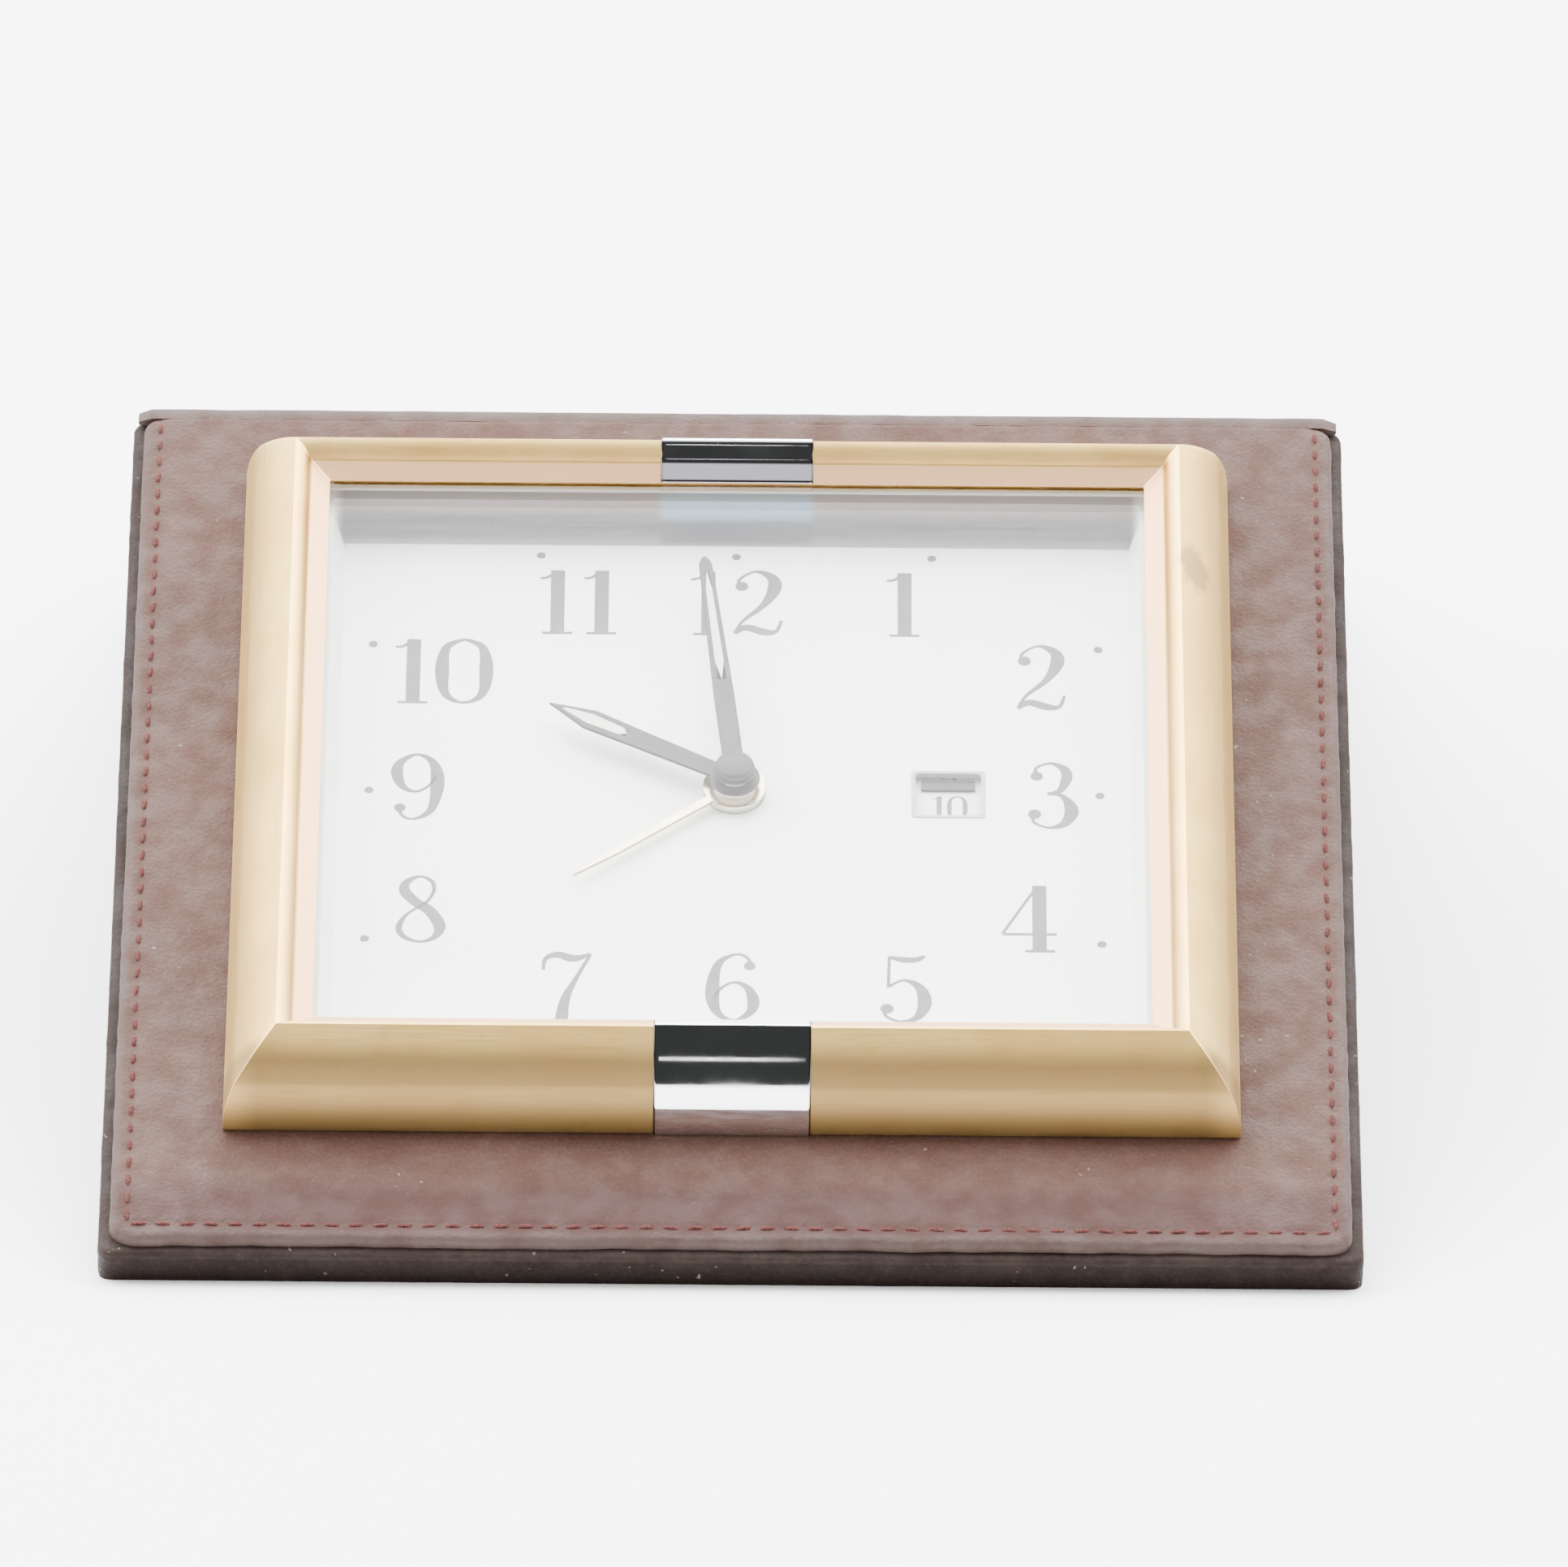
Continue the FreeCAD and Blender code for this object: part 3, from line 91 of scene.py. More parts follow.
class Shader:
    """A Principled material with short names for the nodes this scene uses."""

    def __init__(self, name, colour, roughness, metallic=0.0, origin=None, turn=0.0):
        self.material = bpy.data.materials.new(name)
        self.material.use_nodes = True
        self.tree = self.material.node_tree
        self.surface = self.tree.nodes["Principled BSDF"]
        self.finished(Base_Color=tuple(colour), Roughness=roughness, Metallic=metallic)
        mapping = self.node("ShaderNodeMapping")
        mapping.vector_type = "TEXTURE"
        mapping.inputs["Location"].default_value = origin or (0, 0, 0)
        mapping.inputs["Rotation"].default_value = (turn, 0, 0)
        mapping.inputs["Scale"].default_value = (MM, MM, MM)
        self.link(self.node("ShaderNodeTexCoord").outputs["Object"], mapping.inputs["Vector"])
        self.place = mapping.outputs["Vector"]

    def link(self, source, target):
        self.tree.links.new(source, target)

    def feed(self, value, target):
        if isinstance(value, (int, float)):
            target.default_value = value
        elif isinstance(value, tuple):
            target.default_value = (*value[:3], 1) if len(target.default_value) == 4 else value
        else:
            self.link(value, target)

    def node(self, kind, operation=None, **sockets):
        """A new node. Sockets are given by name, with _ for each space."""
        node = self.tree.nodes.new(kind)
        if operation:
            node.operation = operation
        for name, value in sockets.items():
            self.feed(value, node.inputs[name.replace("_", " ")])
        return node

    def pair(self, kind, operation, first, second):
        """Outputs of a node that works on two inputs."""
        node = self.node(kind, operation)
        self.feed(first, node.inputs[0])
        self.feed(second, node.inputs[1])
        return node.outputs

    def math(self, operation, first, second=0.0):
        return self.pair("ShaderNodeMath", operation, first, second)[0]

    def product(self, first, second):
        return self.math("MULTIPLY", first, second)

    def stretched(self, x, y, z):
        """The place, with each axis multiplied."""
        return self.pair("ShaderNodeVectorMath", "MULTIPLY", self.place, (x, y, z))["Vector"]

    def noise(self, scale, detail=3.0, rough=0.5, vector=None):
        node = self.node("ShaderNodeTexNoise", Scale=scale, Detail=detail, Roughness=rough,
                         Vector=vector or self.place)
        return node.outputs["Fac"]

    def cells(self, scale):
        return self.node("ShaderNodeTexVoronoi", Scale=scale, Vector=self.place).outputs["Distance"]

    def range(self, value, start, end, low=0.0, high=1.0):
        """A smooth step of the value from start to end."""
        node = self.node("ShaderNodeMapRange", Value=value, From_Min=start, From_Max=end,
                         To_Min=low, To_Max=high)
        node.interpolation_type = "SMOOTHSTEP"
        return node.outputs["Result"]

    def mix(self, share, first, second):
        node = self.node("ShaderNodeMix")
        node.data_type = "RGBA"
        for value, socket in ((share, 0), (first, 6), (second, 7)):
            self.feed(value, node.inputs[socket])
        return node.outputs[2]

    def axis(self, name, vector=None):
        return self.node("ShaderNodeSeparateXYZ", Vector=vector or self.place).outputs[name]

    def off_centre(self):
        return self.math("ABSOLUTE", self.axis("X"))

    def bump(self, height, depth_mm, strength=1.0, below=None):
        node = self.node("ShaderNodeBump", Strength=strength, Distance=depth_mm * MM, Height=height)
        if below:
            self.link(below, node.inputs["Normal"])
        return node.outputs["Normal"]

    def drift(self, field, colour, spread):
        """The colour, darker where the field is low."""
        darker = tuple(channel * (1 - spread) for channel in colour[:3])
        return self.mix(self.range(field, 0.35, 0.65), darker, tuple(colour[:3]))

    def layered(self, tone, *layers):
        """Colours laid over a tone in turn, each with its share."""
        for share, colour in layers:
            tone = self.mix(share, tone, colour)
        return tone

    def finished(self, **sockets):
        """The material, after setting inputs of its surface."""
        for name, value in sockets.items():
            self.feed(value, self.surface.inputs[name.replace("_", " ")])
        return self.material


def leather(name, main, dark, pale, origin, turn, rim=None, grain=2.6, foot=None, shine=0.20):
    """Worn leather: fine grain, soft mottling, pale nicks and an optional rubbed rim, with an optional darker
    foot that on the binding is painted contact shadow.
    """
    shader = Shader(name, main, 0.6, origin=origin, turn=turn)
    blotch = shader.noise(0.05, 5, 0.62)
    mottle = shader.noise(0.35, 5, 0.65)
    fine = shader.noise(2.6, 3, 0.6)
    speck = shader.noise(1.3, 2, 0.5)
    cell = shader.cells(grain)
    wrinkle = shader.noise(0.5, 6, 0.62)
    nick = shader.product(shader.range(speck, 0.70, 0.76), shader.range(shader.noise(0.12, 1), 0.5, 0.62))
    tone = shader.layered(dark, (shader.range(blotch, 0.34, 0.66, 0.45, 1.0), main),
                          (shader.range(mottle, 0.48, 0.72, 0, 0.42), pale),
                          (shader.range(mottle, 0.28, 0.46, 0.40, 0), dark),
                          (shader.range(fine, 0.50, 0.66, 0, 0.35), pale),
                          (shader.range(cell, 0.0, 0.45, 0.40, 0.0), dark),
                          (shader.product(nick, 0.5), NICK))
    if foot:
        tone = shader.mix(foot(shader), tone, FOOT)
    if rim:
        edge = rim(shader)
        rub = shader.product(edge, shader.range(shader.noise(0.35, 4, 0.6), 0.25, 0.6, 0.45, 1.0))
        tone = shader.mix(rub, tone, RUBBED)
    coarse = shader.bump(wrinkle, 0.10, 0.8)
    return shader.finished(Base_Color=tone, Normal=shader.bump(cell, 0.05, 0.85, coarse),
                           Roughness=shader.range(shader.noise(0.3, 3), 0.3, 0.7, 0.52, 0.74),
                           Sheen_Weight=0.02, Sheen_Roughness=0.4, Specular_IOR_Level=shine)


def face_rim(right, low_edge, high_edge):
    """Rubbed near the outer edge, fading out before the stitch lines."""
    def build(shader):
        side = shader.range(shader.off_centre(), right + 0.5, right + 1.4, 0.0, 0.8)
        foot = shader.range(shader.axis("Y"), low_edge - 1.4, low_edge - 0.4, 0.9, 0.0)
        top = shader.product(shader.range(shader.axis("Y"), high_edge - 0.6, high_edge + 0.5),
                             shader.range(shader.axis("Z"), -1.6, -0.4))
        return shader.math("MAXIMUM", shader.math("MAXIMUM", side, foot), top)
    return build


def plastic(name, colour, roughness, grain=0.02, spread=0.12):
    """Moulded plastic or paint: slight colour drift and a fine surface texture."""
    shader = Shader(name, colour, roughness)
    return shader.finished(
        Base_Color=shader.drift(shader.noise(0.15, 3), colour, spread),
        Roughness=shader.range(shader.noise(0.6, 2), 0.3, 0.7, roughness * 0.88, min(1.0, roughness * 1.12)),
        Normal=shader.bump(shader.noise(9.0, 2), grain, 0.6))


def metal(name, colour, roughness, brush=(1, 1, 1), depth=0.006, spread=0.1):
    """Plain metal with directional brushing and faint smudges."""
    shader = Shader(name, colour, roughness, 1.0, FACE.translation[:], LEAN)
    line = shader.noise(3.0, 3, 0.6, shader.stretched(*brush))
    return shader.finished(
        Base_Color=shader.drift(shader.noise(0.08, 4, 0.6), colour, spread),
        Roughness=shader.range(line, 0.3, 0.7, roughness * 0.85, min(1.0, roughness * 1.2)),
        Normal=shader.bump(line, depth, 0.6))


# ---- Mesh helpers ----

def piece(name, place, points, faces, material, body, slot, stands_for=(), smooth=True, uvs=None):
    mesh = bpy.data.meshes.new(name)
    mesh.from_pydata([place @ Vector(point) for point in points], [], faces)
    mesh.validate()
    if uvs:
        layer = mesh.uv_layers.new(name="along")
        for loop in mesh.loops:
            layer.data[loop.index].uv = uvs[loop.vertex_index]
    item = bpy.data.objects.new(name, mesh)
    bpy.context.scene.collection.objects.link(item)
    work = bmesh.new()
    work.from_mesh(mesh)
    bmesh.ops.recalc_face_normals(work, faces=work.faces)
    work.to_mesh(mesh)
    work.free()
    for polygon in mesh.polygons:
        polygon.use_smooth = smooth and len(polygon.vertices) <= 4
    mesh.materials.append(material)
    if smooth:
        mesh.set_sharp_from_angle(angle=math.radians(38))
    if body:
        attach(item, body)
    if stands_for:
        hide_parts(*stands_for)
    return item


def between(a, b, share):
    """The point at a share of the way from a to b."""
    return a[0] + (b[0] - a[0]) * share, a[1] + (b[1] - a[1]) * share


def heading(start, end):
    """Unit direction from one point to another."""
    reach = math.hypot(end[0] - start[0], end[1] - start[1]) or 1.0
    return (end[0] - start[0]) / reach, (end[1] - start[1]) / reach


def beside(line, number):
    """Direction of a line of points at one of them."""
    return heading(line[max(0, number - 1)], line[min(len(line) - 1, number + 1)])


def at(outline, height):
    """A flat outline as a ring at a height."""
    return [(x, y, height) for x, y in outline]


def circle(radius, sides, centre=(0.0, 0.0)):
    turns = [2 * math.pi * step / sides for step in range(sides)]
    return [(centre[0] + radius * math.cos(turn), centre[1] + radius * math.sin(turn)) for turn in turns]


def inset_rectangle(bounds, inset, radii, side_steps=40, corner_steps=8):
    left, right, low_y, high_y = bounds
    return round_rectangle(left + inset, right - inset, low_y + inset, high_y - inset, radii, side_steps,
                           corner_steps)


def round_rectangle(left, right, low_y, high_y, radii, side_steps=40, corner_steps=8):
    """Points round a rectangle, counter-clockwise from the lower left corner's arc."""
    corners = [(left, low_y, 1, 1, 180), (right, low_y, -1, 1, 270),
               (right, high_y, -1, -1, 0), (left, high_y, 1, -1, 90)]
    arcs = []
    for (x, y, in_x, in_y, start), radius in zip(corners, radii):
        arc = []
        for step in range(corner_steps + 1):
            turn = math.radians(start + 90 * step / corner_steps)
            arc.append((x + in_x * radius + radius * math.cos(turn),
                        y + in_y * radius + radius * math.sin(turn)))
        arcs.append(arc)
    points = []
    for number, arc in enumerate(arcs):
        points += arc
        here, there = arc[-1], arcs[(number + 1) % 4][0]
        points += [between(here, there, step / side_steps) for step in range(1, side_steps)]
    return points


def skin_rings(rings, closed_loop=False, capped=False):
    """Quads between rings of equal length, and a cap at each end. Returns points and faces."""
    count = len(rings[0])
    points = [point for ring in rings for point in ring]
    faces = []
    steps = len(rings) if closed_loop else len(rings) - 1
    for level in range(steps):
        here, there = level * count, (level + 1) % len(rings) * count
        for step in range(count):
            after = (step + 1) % count
            faces.append((here + step, here + after, there + after, there + step))
    if capped:
        faces += [tuple(range(count)), tuple(range(len(points) - count, len(points)))]
    return points, faces


def arc(centre, radius, start, end, steps):
    """Points of an arc in a section, angles in degrees."""
    result = []
    for step in range(steps + 1):
        turn = math.radians(start + (end - start) * step / steps)
        result.append((centre[0] + radius * math.cos(turn), centre[1] + radius * math.sin(turn)))
    return result


def through(first, middle, last, steps):
    """Points on the circle through three points of a section."""
    ax, ay = first
    bx, by = middle
    cx, cy = last
    a, b, c = (x * x + y * y for x, y in (first, middle, last))
    double = 2 * (ax * (by - cy) + bx * (cy - ay) + cx * (ay - by))
    ux = (a * (by - cy) + b * (cy - ay) + c * (ay - by)) / double
    uy = (a * (cx - bx) + b * (ax - cx) + c * (bx - ax)) / double
    start = math.degrees(math.atan2(ay - uy, ax - ux))
    end = math.degrees(math.atan2(cy - uy, cx - ux))
    while end > start:
        end -= 360
    while end < start - 360:
        end += 360
    if start - end > 180:
        end += 360
    return arc((ux, uy), math.hypot(ax - ux, ay - uy), start, end, steps)


def merge(parts):
    """Join several (points, faces) pairs."""
    points, faces = [], []
    for more_points, more_faces in parts:
        base = len(points)
        points += more_points
        faces += [tuple(index + base for index in face) for face in more_faces]
    return points, faces


def turned(points, turn):
    spin = Matrix.Rotation(turn, 3, "Z")
    return [tuple(spin @ Vector(point)) for point in points]


def ripple(x, y, z, scale, seed=0.0):
    return noise.noise(Vector((x * scale + seed, y * scale - seed, z * scale)))


# ---- Leather leaves ----

# FOOT darkens the lower face leather and, as painted contact shadow, the back of the binding.
MAIN, DEEP, WORN = (0.0545, 0.0240, 0.0164), (0.037, 0.0145, 0.0095), (0.078, 0.0410, 0.0310)
DARK, DARKER, SCUFF = (0.0105, 0.0054, 0.0043), (0.0045, 0.0022, 0.0018), (0.022, 0.0132, 0.0108)
RUBBED, NICK, FOOT = (0.058, 0.040, 0.035), (0.24, 0.19, 0.165), (0.028, 0.0075, 0.0075)
PITCH, STITCH, SEAM = 2.15, 1.45, 53.5

face_hide = leather("face_hide", MAIN, DEEP, WORN, FACE.translation[:], LEAN,
                    face_rim(SEAM, -54.3, 50.4),
                    foot=lambda shader: shader.range(shader.axis("Y"), -51.0, -48.0, 0.62, 0.0))
cover_hide = leather("cover_hide", MAIN, DEEP, WORN, BACK.translation[:], -SLOPE,
                     lambda shader: shader.range(shader.off_centre(), 53.0, 53.9))
# The binding's foot is a dark maroon band towards its back: painted contact shadow.
edge_hide = leather("edge_hide", DARK, DARKER, SCUFF, FACE.translation[:], LEAN, grain=2.0, shine=0.10,
                    rim=lambda shader: shader.range(shader.axis("Z"), -1.9, -1.5, 0.0, 0.22),
                    foot=lambda shader: shader.range(shader.axis("Z"), -4.9, -3.9, 0.85, 0.0))
back_hide = leather("back_hide", DARK, DARKER, SCUFF, BACK.translation[:], -SLOPE, grain=2.0, shine=0.10)


def thread_material():
    shader = Shader("waxed_thread", (0.06, 0.016, 0.014), 0.8)
    twist = shader.noise(6.0, 2)
    shade = shader.mix(shader.range(twist, 0.35, 0.65), (0.050, 0.0165, 0.0150), (0.100, 0.036, 0.031))
    return shader.finished(Base_Color=shade, Normal=shader.bump(twist, 0.05, 0.9), Specular_IOR_Level=0.08)


thread = thread_material()


def stitch_rows(lines):
    """Centre and direction of each stitch along straight lines."""
    spots = []
    for start, end in lines:
        reach = math.hypot(end[0] - start[0], end[1] - start[1])
        count = int(round(reach / PITCH))
        along = heading(start, end)
        for number in range(count):
            share = (number + 0.5) / count * reach
            spots.append((start[0] + along[0] * share, start[1] + along[1] * share, along))
    return spots


def sewn(spots, level):
    """Each stitch is a short twisted thread that dips into the leather at both ends."""
    parts = []
    for x, y, along in spots:
        across = (-along[1], along[0])
        rings = []
        slant = random.uniform(-0.09, 0.09)
        for step in range(9):
            share = step / 8 * 2 - 1
            swell = math.sqrt(max(0.0, 1 - abs(share) ** 3)) * 0.17 + 0.03
            lift = 0.12 * (1 - share * share) - 0.13
            ring = []
            for turn in range(8):
                angle = 2 * math.pi * turn / 8 + step * 0.35
                side = swell * math.cos(angle) * 1.05 + share * slant
                up = swell * math.sin(angle) * 0.8 + lift
                far = share * STITCH / 2
                ring.append((x + along[0] * far + across[0] * side, y + along[1] * far + across[1] * side,
                             level + up))
            rings.append(ring)
        parts.append(skin_rings(rings, capped=True))
    return merge(parts)


def pull_down(x, y, lines):
    """How far the leather sinks under the seam at a point."""
    sink = 0.0
    for (x1, y1), (x2, y2) in lines:
        reach = math.hypot(x2 - x1, y2 - y1)
        ux, uy = heading((x1, y1), (x2, y2))
        along = (x - x1) * ux + (y - y1) * uy
        away = abs((x - x1) * uy - (y - y1) * ux)
        if -0.5 < along < reach + 0.5 and away < 2.0:
            step = reach / round(reach / PITCH)
            beat = 0.5 - 0.5 * math.cos(2 * math.pi * (along / step))
            sink = max(sink, (0.13 - 0.06 * beat) * math.exp(-(away / 0.55) ** 2))
    return sink


FACE_LINES = [((-SEAM, 49.7), (-SEAM, -54.3)), ((-SEAM, -54.3), (SEAM, -54.3)),
              ((SEAM, -54.3), (SEAM, 49.7))]
FACE_BOUNDS = (-55.0, 55.0, -56.0, 50.5)
CASE_OPENING = (-40.6, 40.6, -38.1, 38.1)


def front_leather():
    """Face leather with its opening, a rolled edge and a soft groove under the seams."""
    # distance in from the outer edge, and height there
    section = [(0.0, -1.15), (0.0, -0.75), (0.08, -0.42), (0.26, -0.18), (0.55, -0.04), (0.9, 0.0)]
    section += [(0.9 + 0.2 * step, 0.0) for step in range(1, 9)]
    rings = [at(inset_rectangle(FACE_BOUNDS, inset, [max(0.5, 2.0 - inset)] * 4, 240, 10), height)
             for inset, height in section]
    start = inset_rectangle(FACE_BOUNDS, 2.5, [0.4] * 4, 240, 10)
    end = round_rectangle(*CASE_OPENING, [0.4] * 4, 240, 10)
    for step in range(1, 22):
        rings.append([(*between(a, b, step / 21), 0.0) for a, b in zip(start, end)])
    rings.append(at(end, -1.15))
    shaped = []
    for number, ring in enumerate(rings):
        row = []
        for x, y, z in ring:
            if number < len(rings) - 1:
                z -= pull_down(x, y, FACE_LINES)
                z += 0.05 * ripple(x, y, 0, 0.10) + 0.03 * ripple(x, y, 0, 0.5, 4)
            if number < 4:
                wave = 0.16 * ripple(x, y, 0, 0.35, 9)
                x += math.copysign(wave, x) if abs(x) > 54 else 0
                y += wave if abs(y) > 49 else 0
            row.append((x, y, z))
        shaped.append(row)
    piece("face_leather_skin", FACE, *skin_rings(shaped, True), face_hide, "leaf", "brown_leather",
          ["face_leather"])


def wrap(place, bounds, hole, front, back, radius):
    """Rings of a binding: from the hole over the back, round the edge, under the face leather and back."""
    _, right, foot, top = bounds
    corner, rough_edge = 0.75, 0.1
    section = [(corner, back)]
    for angle in (20, 45, 70, 90):
        turn = math.radians(angle)
        section.append((corner - corner * math.sin(turn), back + corner - corner * math.cos(turn)))
    for step in range(1, 6):
        section.append((-0.02, back + corner + (front - back - corner - 0.45) * step / 5))
    section += [(0.10, front - 0.22), (0.32, front - 0.06), (0.65, front), (1.6, front), (2.4, front)]
    section += [(2.4, front - 0.3), (0.9, front - 0.3), (0.9, back + 0.8)]
    rings = []
    if hole:
        start = round_rectangle(*hole, [0.4] * 4, 120, 8)
        end = inset_rectangle(bounds, corner, [radius * 0.6] * 4, 120, 8)
        rings.append(at(start, back + 0.8))
        for step in range(7):
            rings.append([(*between(a, b, step / 7), back) for a, b in zip(start, end)])
    for inset, height in section:
        rings.append(at(inset_rectangle(bounds, inset, [max(0.4, radius - inset)] * 4, 120, 8), height))
    shaped = []
    for ring in rings:
        row = []
        for x, y, z in ring:
            near = max(abs(x) - right + 2, foot + 2 - y, y - top + 2, 0) / 2
            bend = rough_edge * (ripple(x, y, z, 0.4, 2) * 0.7 + ripple(x, y, z, 1.5, 5) * 0.45) * near
            inward = min(1.0, near)
            if abs(x) > right - 1.5:
                x += math.copysign(min(0.0, bend) * inward, x)
            if y < foot + 1.5 or y > top - 1.5:
                y += math.copysign(min(0.0, bend) * inward, y - (foot + top) / 2)
            spot = place @ Vector((x, y, z))
            if spot.z < 0:
                x, y, z = place.inverted() @ Vector((spot.x, spot.y, 0.0))
            row.append((x, y, z))
        shaped.append(row)
    return shaped


def front_binding():
    rings = wrap(FACE, (-56, 56, -57, 51), CASE_OPENING, -1.2, -5.4, 1.3)
    piece("front_edge_leather", FACE, *skin_rings(rings, True), edge_hide, "leaf", "dark_leather",
          ["front_binding"])


front_leather()
front_binding()
face_spots = stitch_rows(FACE_LINES)
piece("face_stitches", FACE, *sewn(face_spots, -0.02), thread, "leaf", "thread", ["edge_stitching"])

COVER_FAR = 108.0
COVER_LINES = [((-SEAM, 2.7), (-SEAM, COVER_FAR - 2.7)), ((-SEAM, COVER_FAR - 2.7), (SEAM, COVER_FAR - 2.7)),
               ((SEAM, COVER_FAR - 2.7), (SEAM, 2.7))]
COVER_BOUNDS = (-55.0, 55.0, 1.4, COVER_FAR - 1.0)


def fan(points, faces, first, count, tip):
    """Closes a ring of points with triangles to a tip."""
    points.append(tip)
    faces.extend((first + step, first + (step + 1) % count, len(points) - 1) for step in range(count))


def cover_leaf():
    """Face leather of the cover, its binding, and the stitches that join them."""
    section = [(0.0, 1.15), (0.03, 1.38), (0.14, 1.58), (0.34, 1.67), (0.6, 1.7)]
    section += [(0.6 + 0.22 * step, 1.7) for step in range(1, 9)]
    rings = []
    for inset, height in section:
        radius = max(0.4, 2.0 - inset)
        rings.append(at(inset_rectangle(COVER_BOUNDS, inset, [0.4, 0.4, radius, radius], 160, 8), height))
    start = inset_rectangle(COVER_BOUNDS, 2.36, [0.4] * 4, 160, 8)
    middle = (COVER_BOUNDS[2] + COVER_BOUNDS[3]) / 2
    for step in range(1, 30):
        share = 1 - step / 30
        rings.append([(x * share, middle + (y - middle) * share, 1.7) for x, y in start])
    shaped = []
    for ring in rings:
        row = []
        for x, y, z in ring:
            z -= pull_down(x, y, COVER_LINES)
            z += 0.12 * ripple(x, y, 0, 0.035, 3) + 0.03 * ripple(x, y, 0, 0.5, 6) - 0.06
            row.append((x, y, z))
        shaped.append(row)
    points, faces = skin_rings(shaped)
    count = len(shaped[0])
    fan(points, faces, len(points) - count, count, (0, middle, shaped[-1][0][2]))
    faces.append(tuple(range(count)))
    piece("cover_face_skin", BACK, points, faces, cover_hide, "cover", "brown_leather", ["cover_leather"])

    edge = wrap(BACK, (-56, 56, 0.9, COVER_FAR), None, 1.1, -1.1, 1.3)
    middle, count = COVER_FAR / 2, len(edge[0])
    rings = [[(x * share, middle + (y - middle) * share, -1.1) for x, y, _ in edge[0]]
             for share in [step / 14 for step in range(1, 14)]]
    points, faces = skin_rings(rings + edge)
    faces.append(tuple(range(len(points) - count, len(points))))
    fan(points, faces, 0, count, (0, middle, -1.1))
    piece("cover_edge_leather", BACK, points, faces, back_hide, "cover", "dark_leather", ["cover_binding"])

    spots = stitch_rows(COVER_LINES)
    piece("cover_stitches", BACK, *sewn(spots, 1.64), thread, "cover", "thread", ["cover_stitching"])


cover_leaf()

HINGE_Y, HINGE_Z, SECOND_Z = 51.7, -0.7, -15.1


def hide_strip(line, thickness, seed):
    """A leather strip across the whole width that follows a line of (y, z) points."""
    half, columns = 55.6, 90
    rings = []
    for number, (y, z) in enumerate(line):
        dy, dz = beside(line, number)
        ring = []
        for side in (1, -1):
            span = range(columns + 1) if side > 0 else range(columns, -1, -1)
            for step in span:
                x = -half + 2 * half * step / columns
                edge = min(1.0, (half - abs(x)) / 0.5)
                thick = thickness / 2 * math.sqrt(max(0.05, 1 - (1 - edge) ** 2))
                off = side * thick + 0.05 * ripple(x, y, z, 0.3, seed)
                ring.append((x, y - dz * off, z + dy * off))
        rings.append(ring)
    return skin_rings(rings, capped=True)


def spine_hide():
    """Two leather strips, joined on the spine, that bend over the two hinge lines."""
    middle = (HINGE_Z + SECOND_Z) / 2
    line = [(50.1, -0.64), (50.5, -0.63), (50.8, -0.63)]
    line += [(50.8 + 0.95 * math.sin(math.radians(turn)), -1.58 + 0.95 * math.cos(math.radians(turn)))
             for turn in range(10, 91, 10)]
    steps = 22
    start = line[-1]
    line += [(HINGE_Y + 0.05, start[1] + (middle - start[1]) * step / steps) for step in range(1, steps + 1)]
    upper = piece("spine_upper_leather", FACE, *hide_strip(line, 1.1, 1), face_hide, None, "brown_leather",
                  ["spine_leather"])
    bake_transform(upper)
    turn = LEAN + SLOPE
    line = [(HINGE_Y, middle + (SECOND_Z + 0.9 - middle) * step / 18) for step in range(19)]
    cover_way = (math.cos(turn), -math.sin(turn))
    far = (HINGE_Y + cover_way[0] * 1.1, SECOND_Z + cover_way[1] * 1.1)
    start = line[-1]
    for step in range(1, 9):
        share = step / 8
        bend = [(1 - share) ** 2, 2 * share * (1 - share), share * share]
        line.append((bend[0] * start[0] + bend[1] * HINGE_Y + bend[2] * far[0],
                     bend[0] * start[1] + bend[1] * (SECOND_Z + 0.1) + bend[2] * far[1]))
    lower = piece("spine_lower_leather", FACE, *hide_strip(line, 1.1, 2), face_hide, None, "brown_leather")
    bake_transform(lower)


spine_hide()


# ---- Bezel and inserts ----

LIP_X, LIP_Y = 39.2, 36.7
LIP = (-LIP_X, LIP_X, -LIP_Y, LIP_Y)


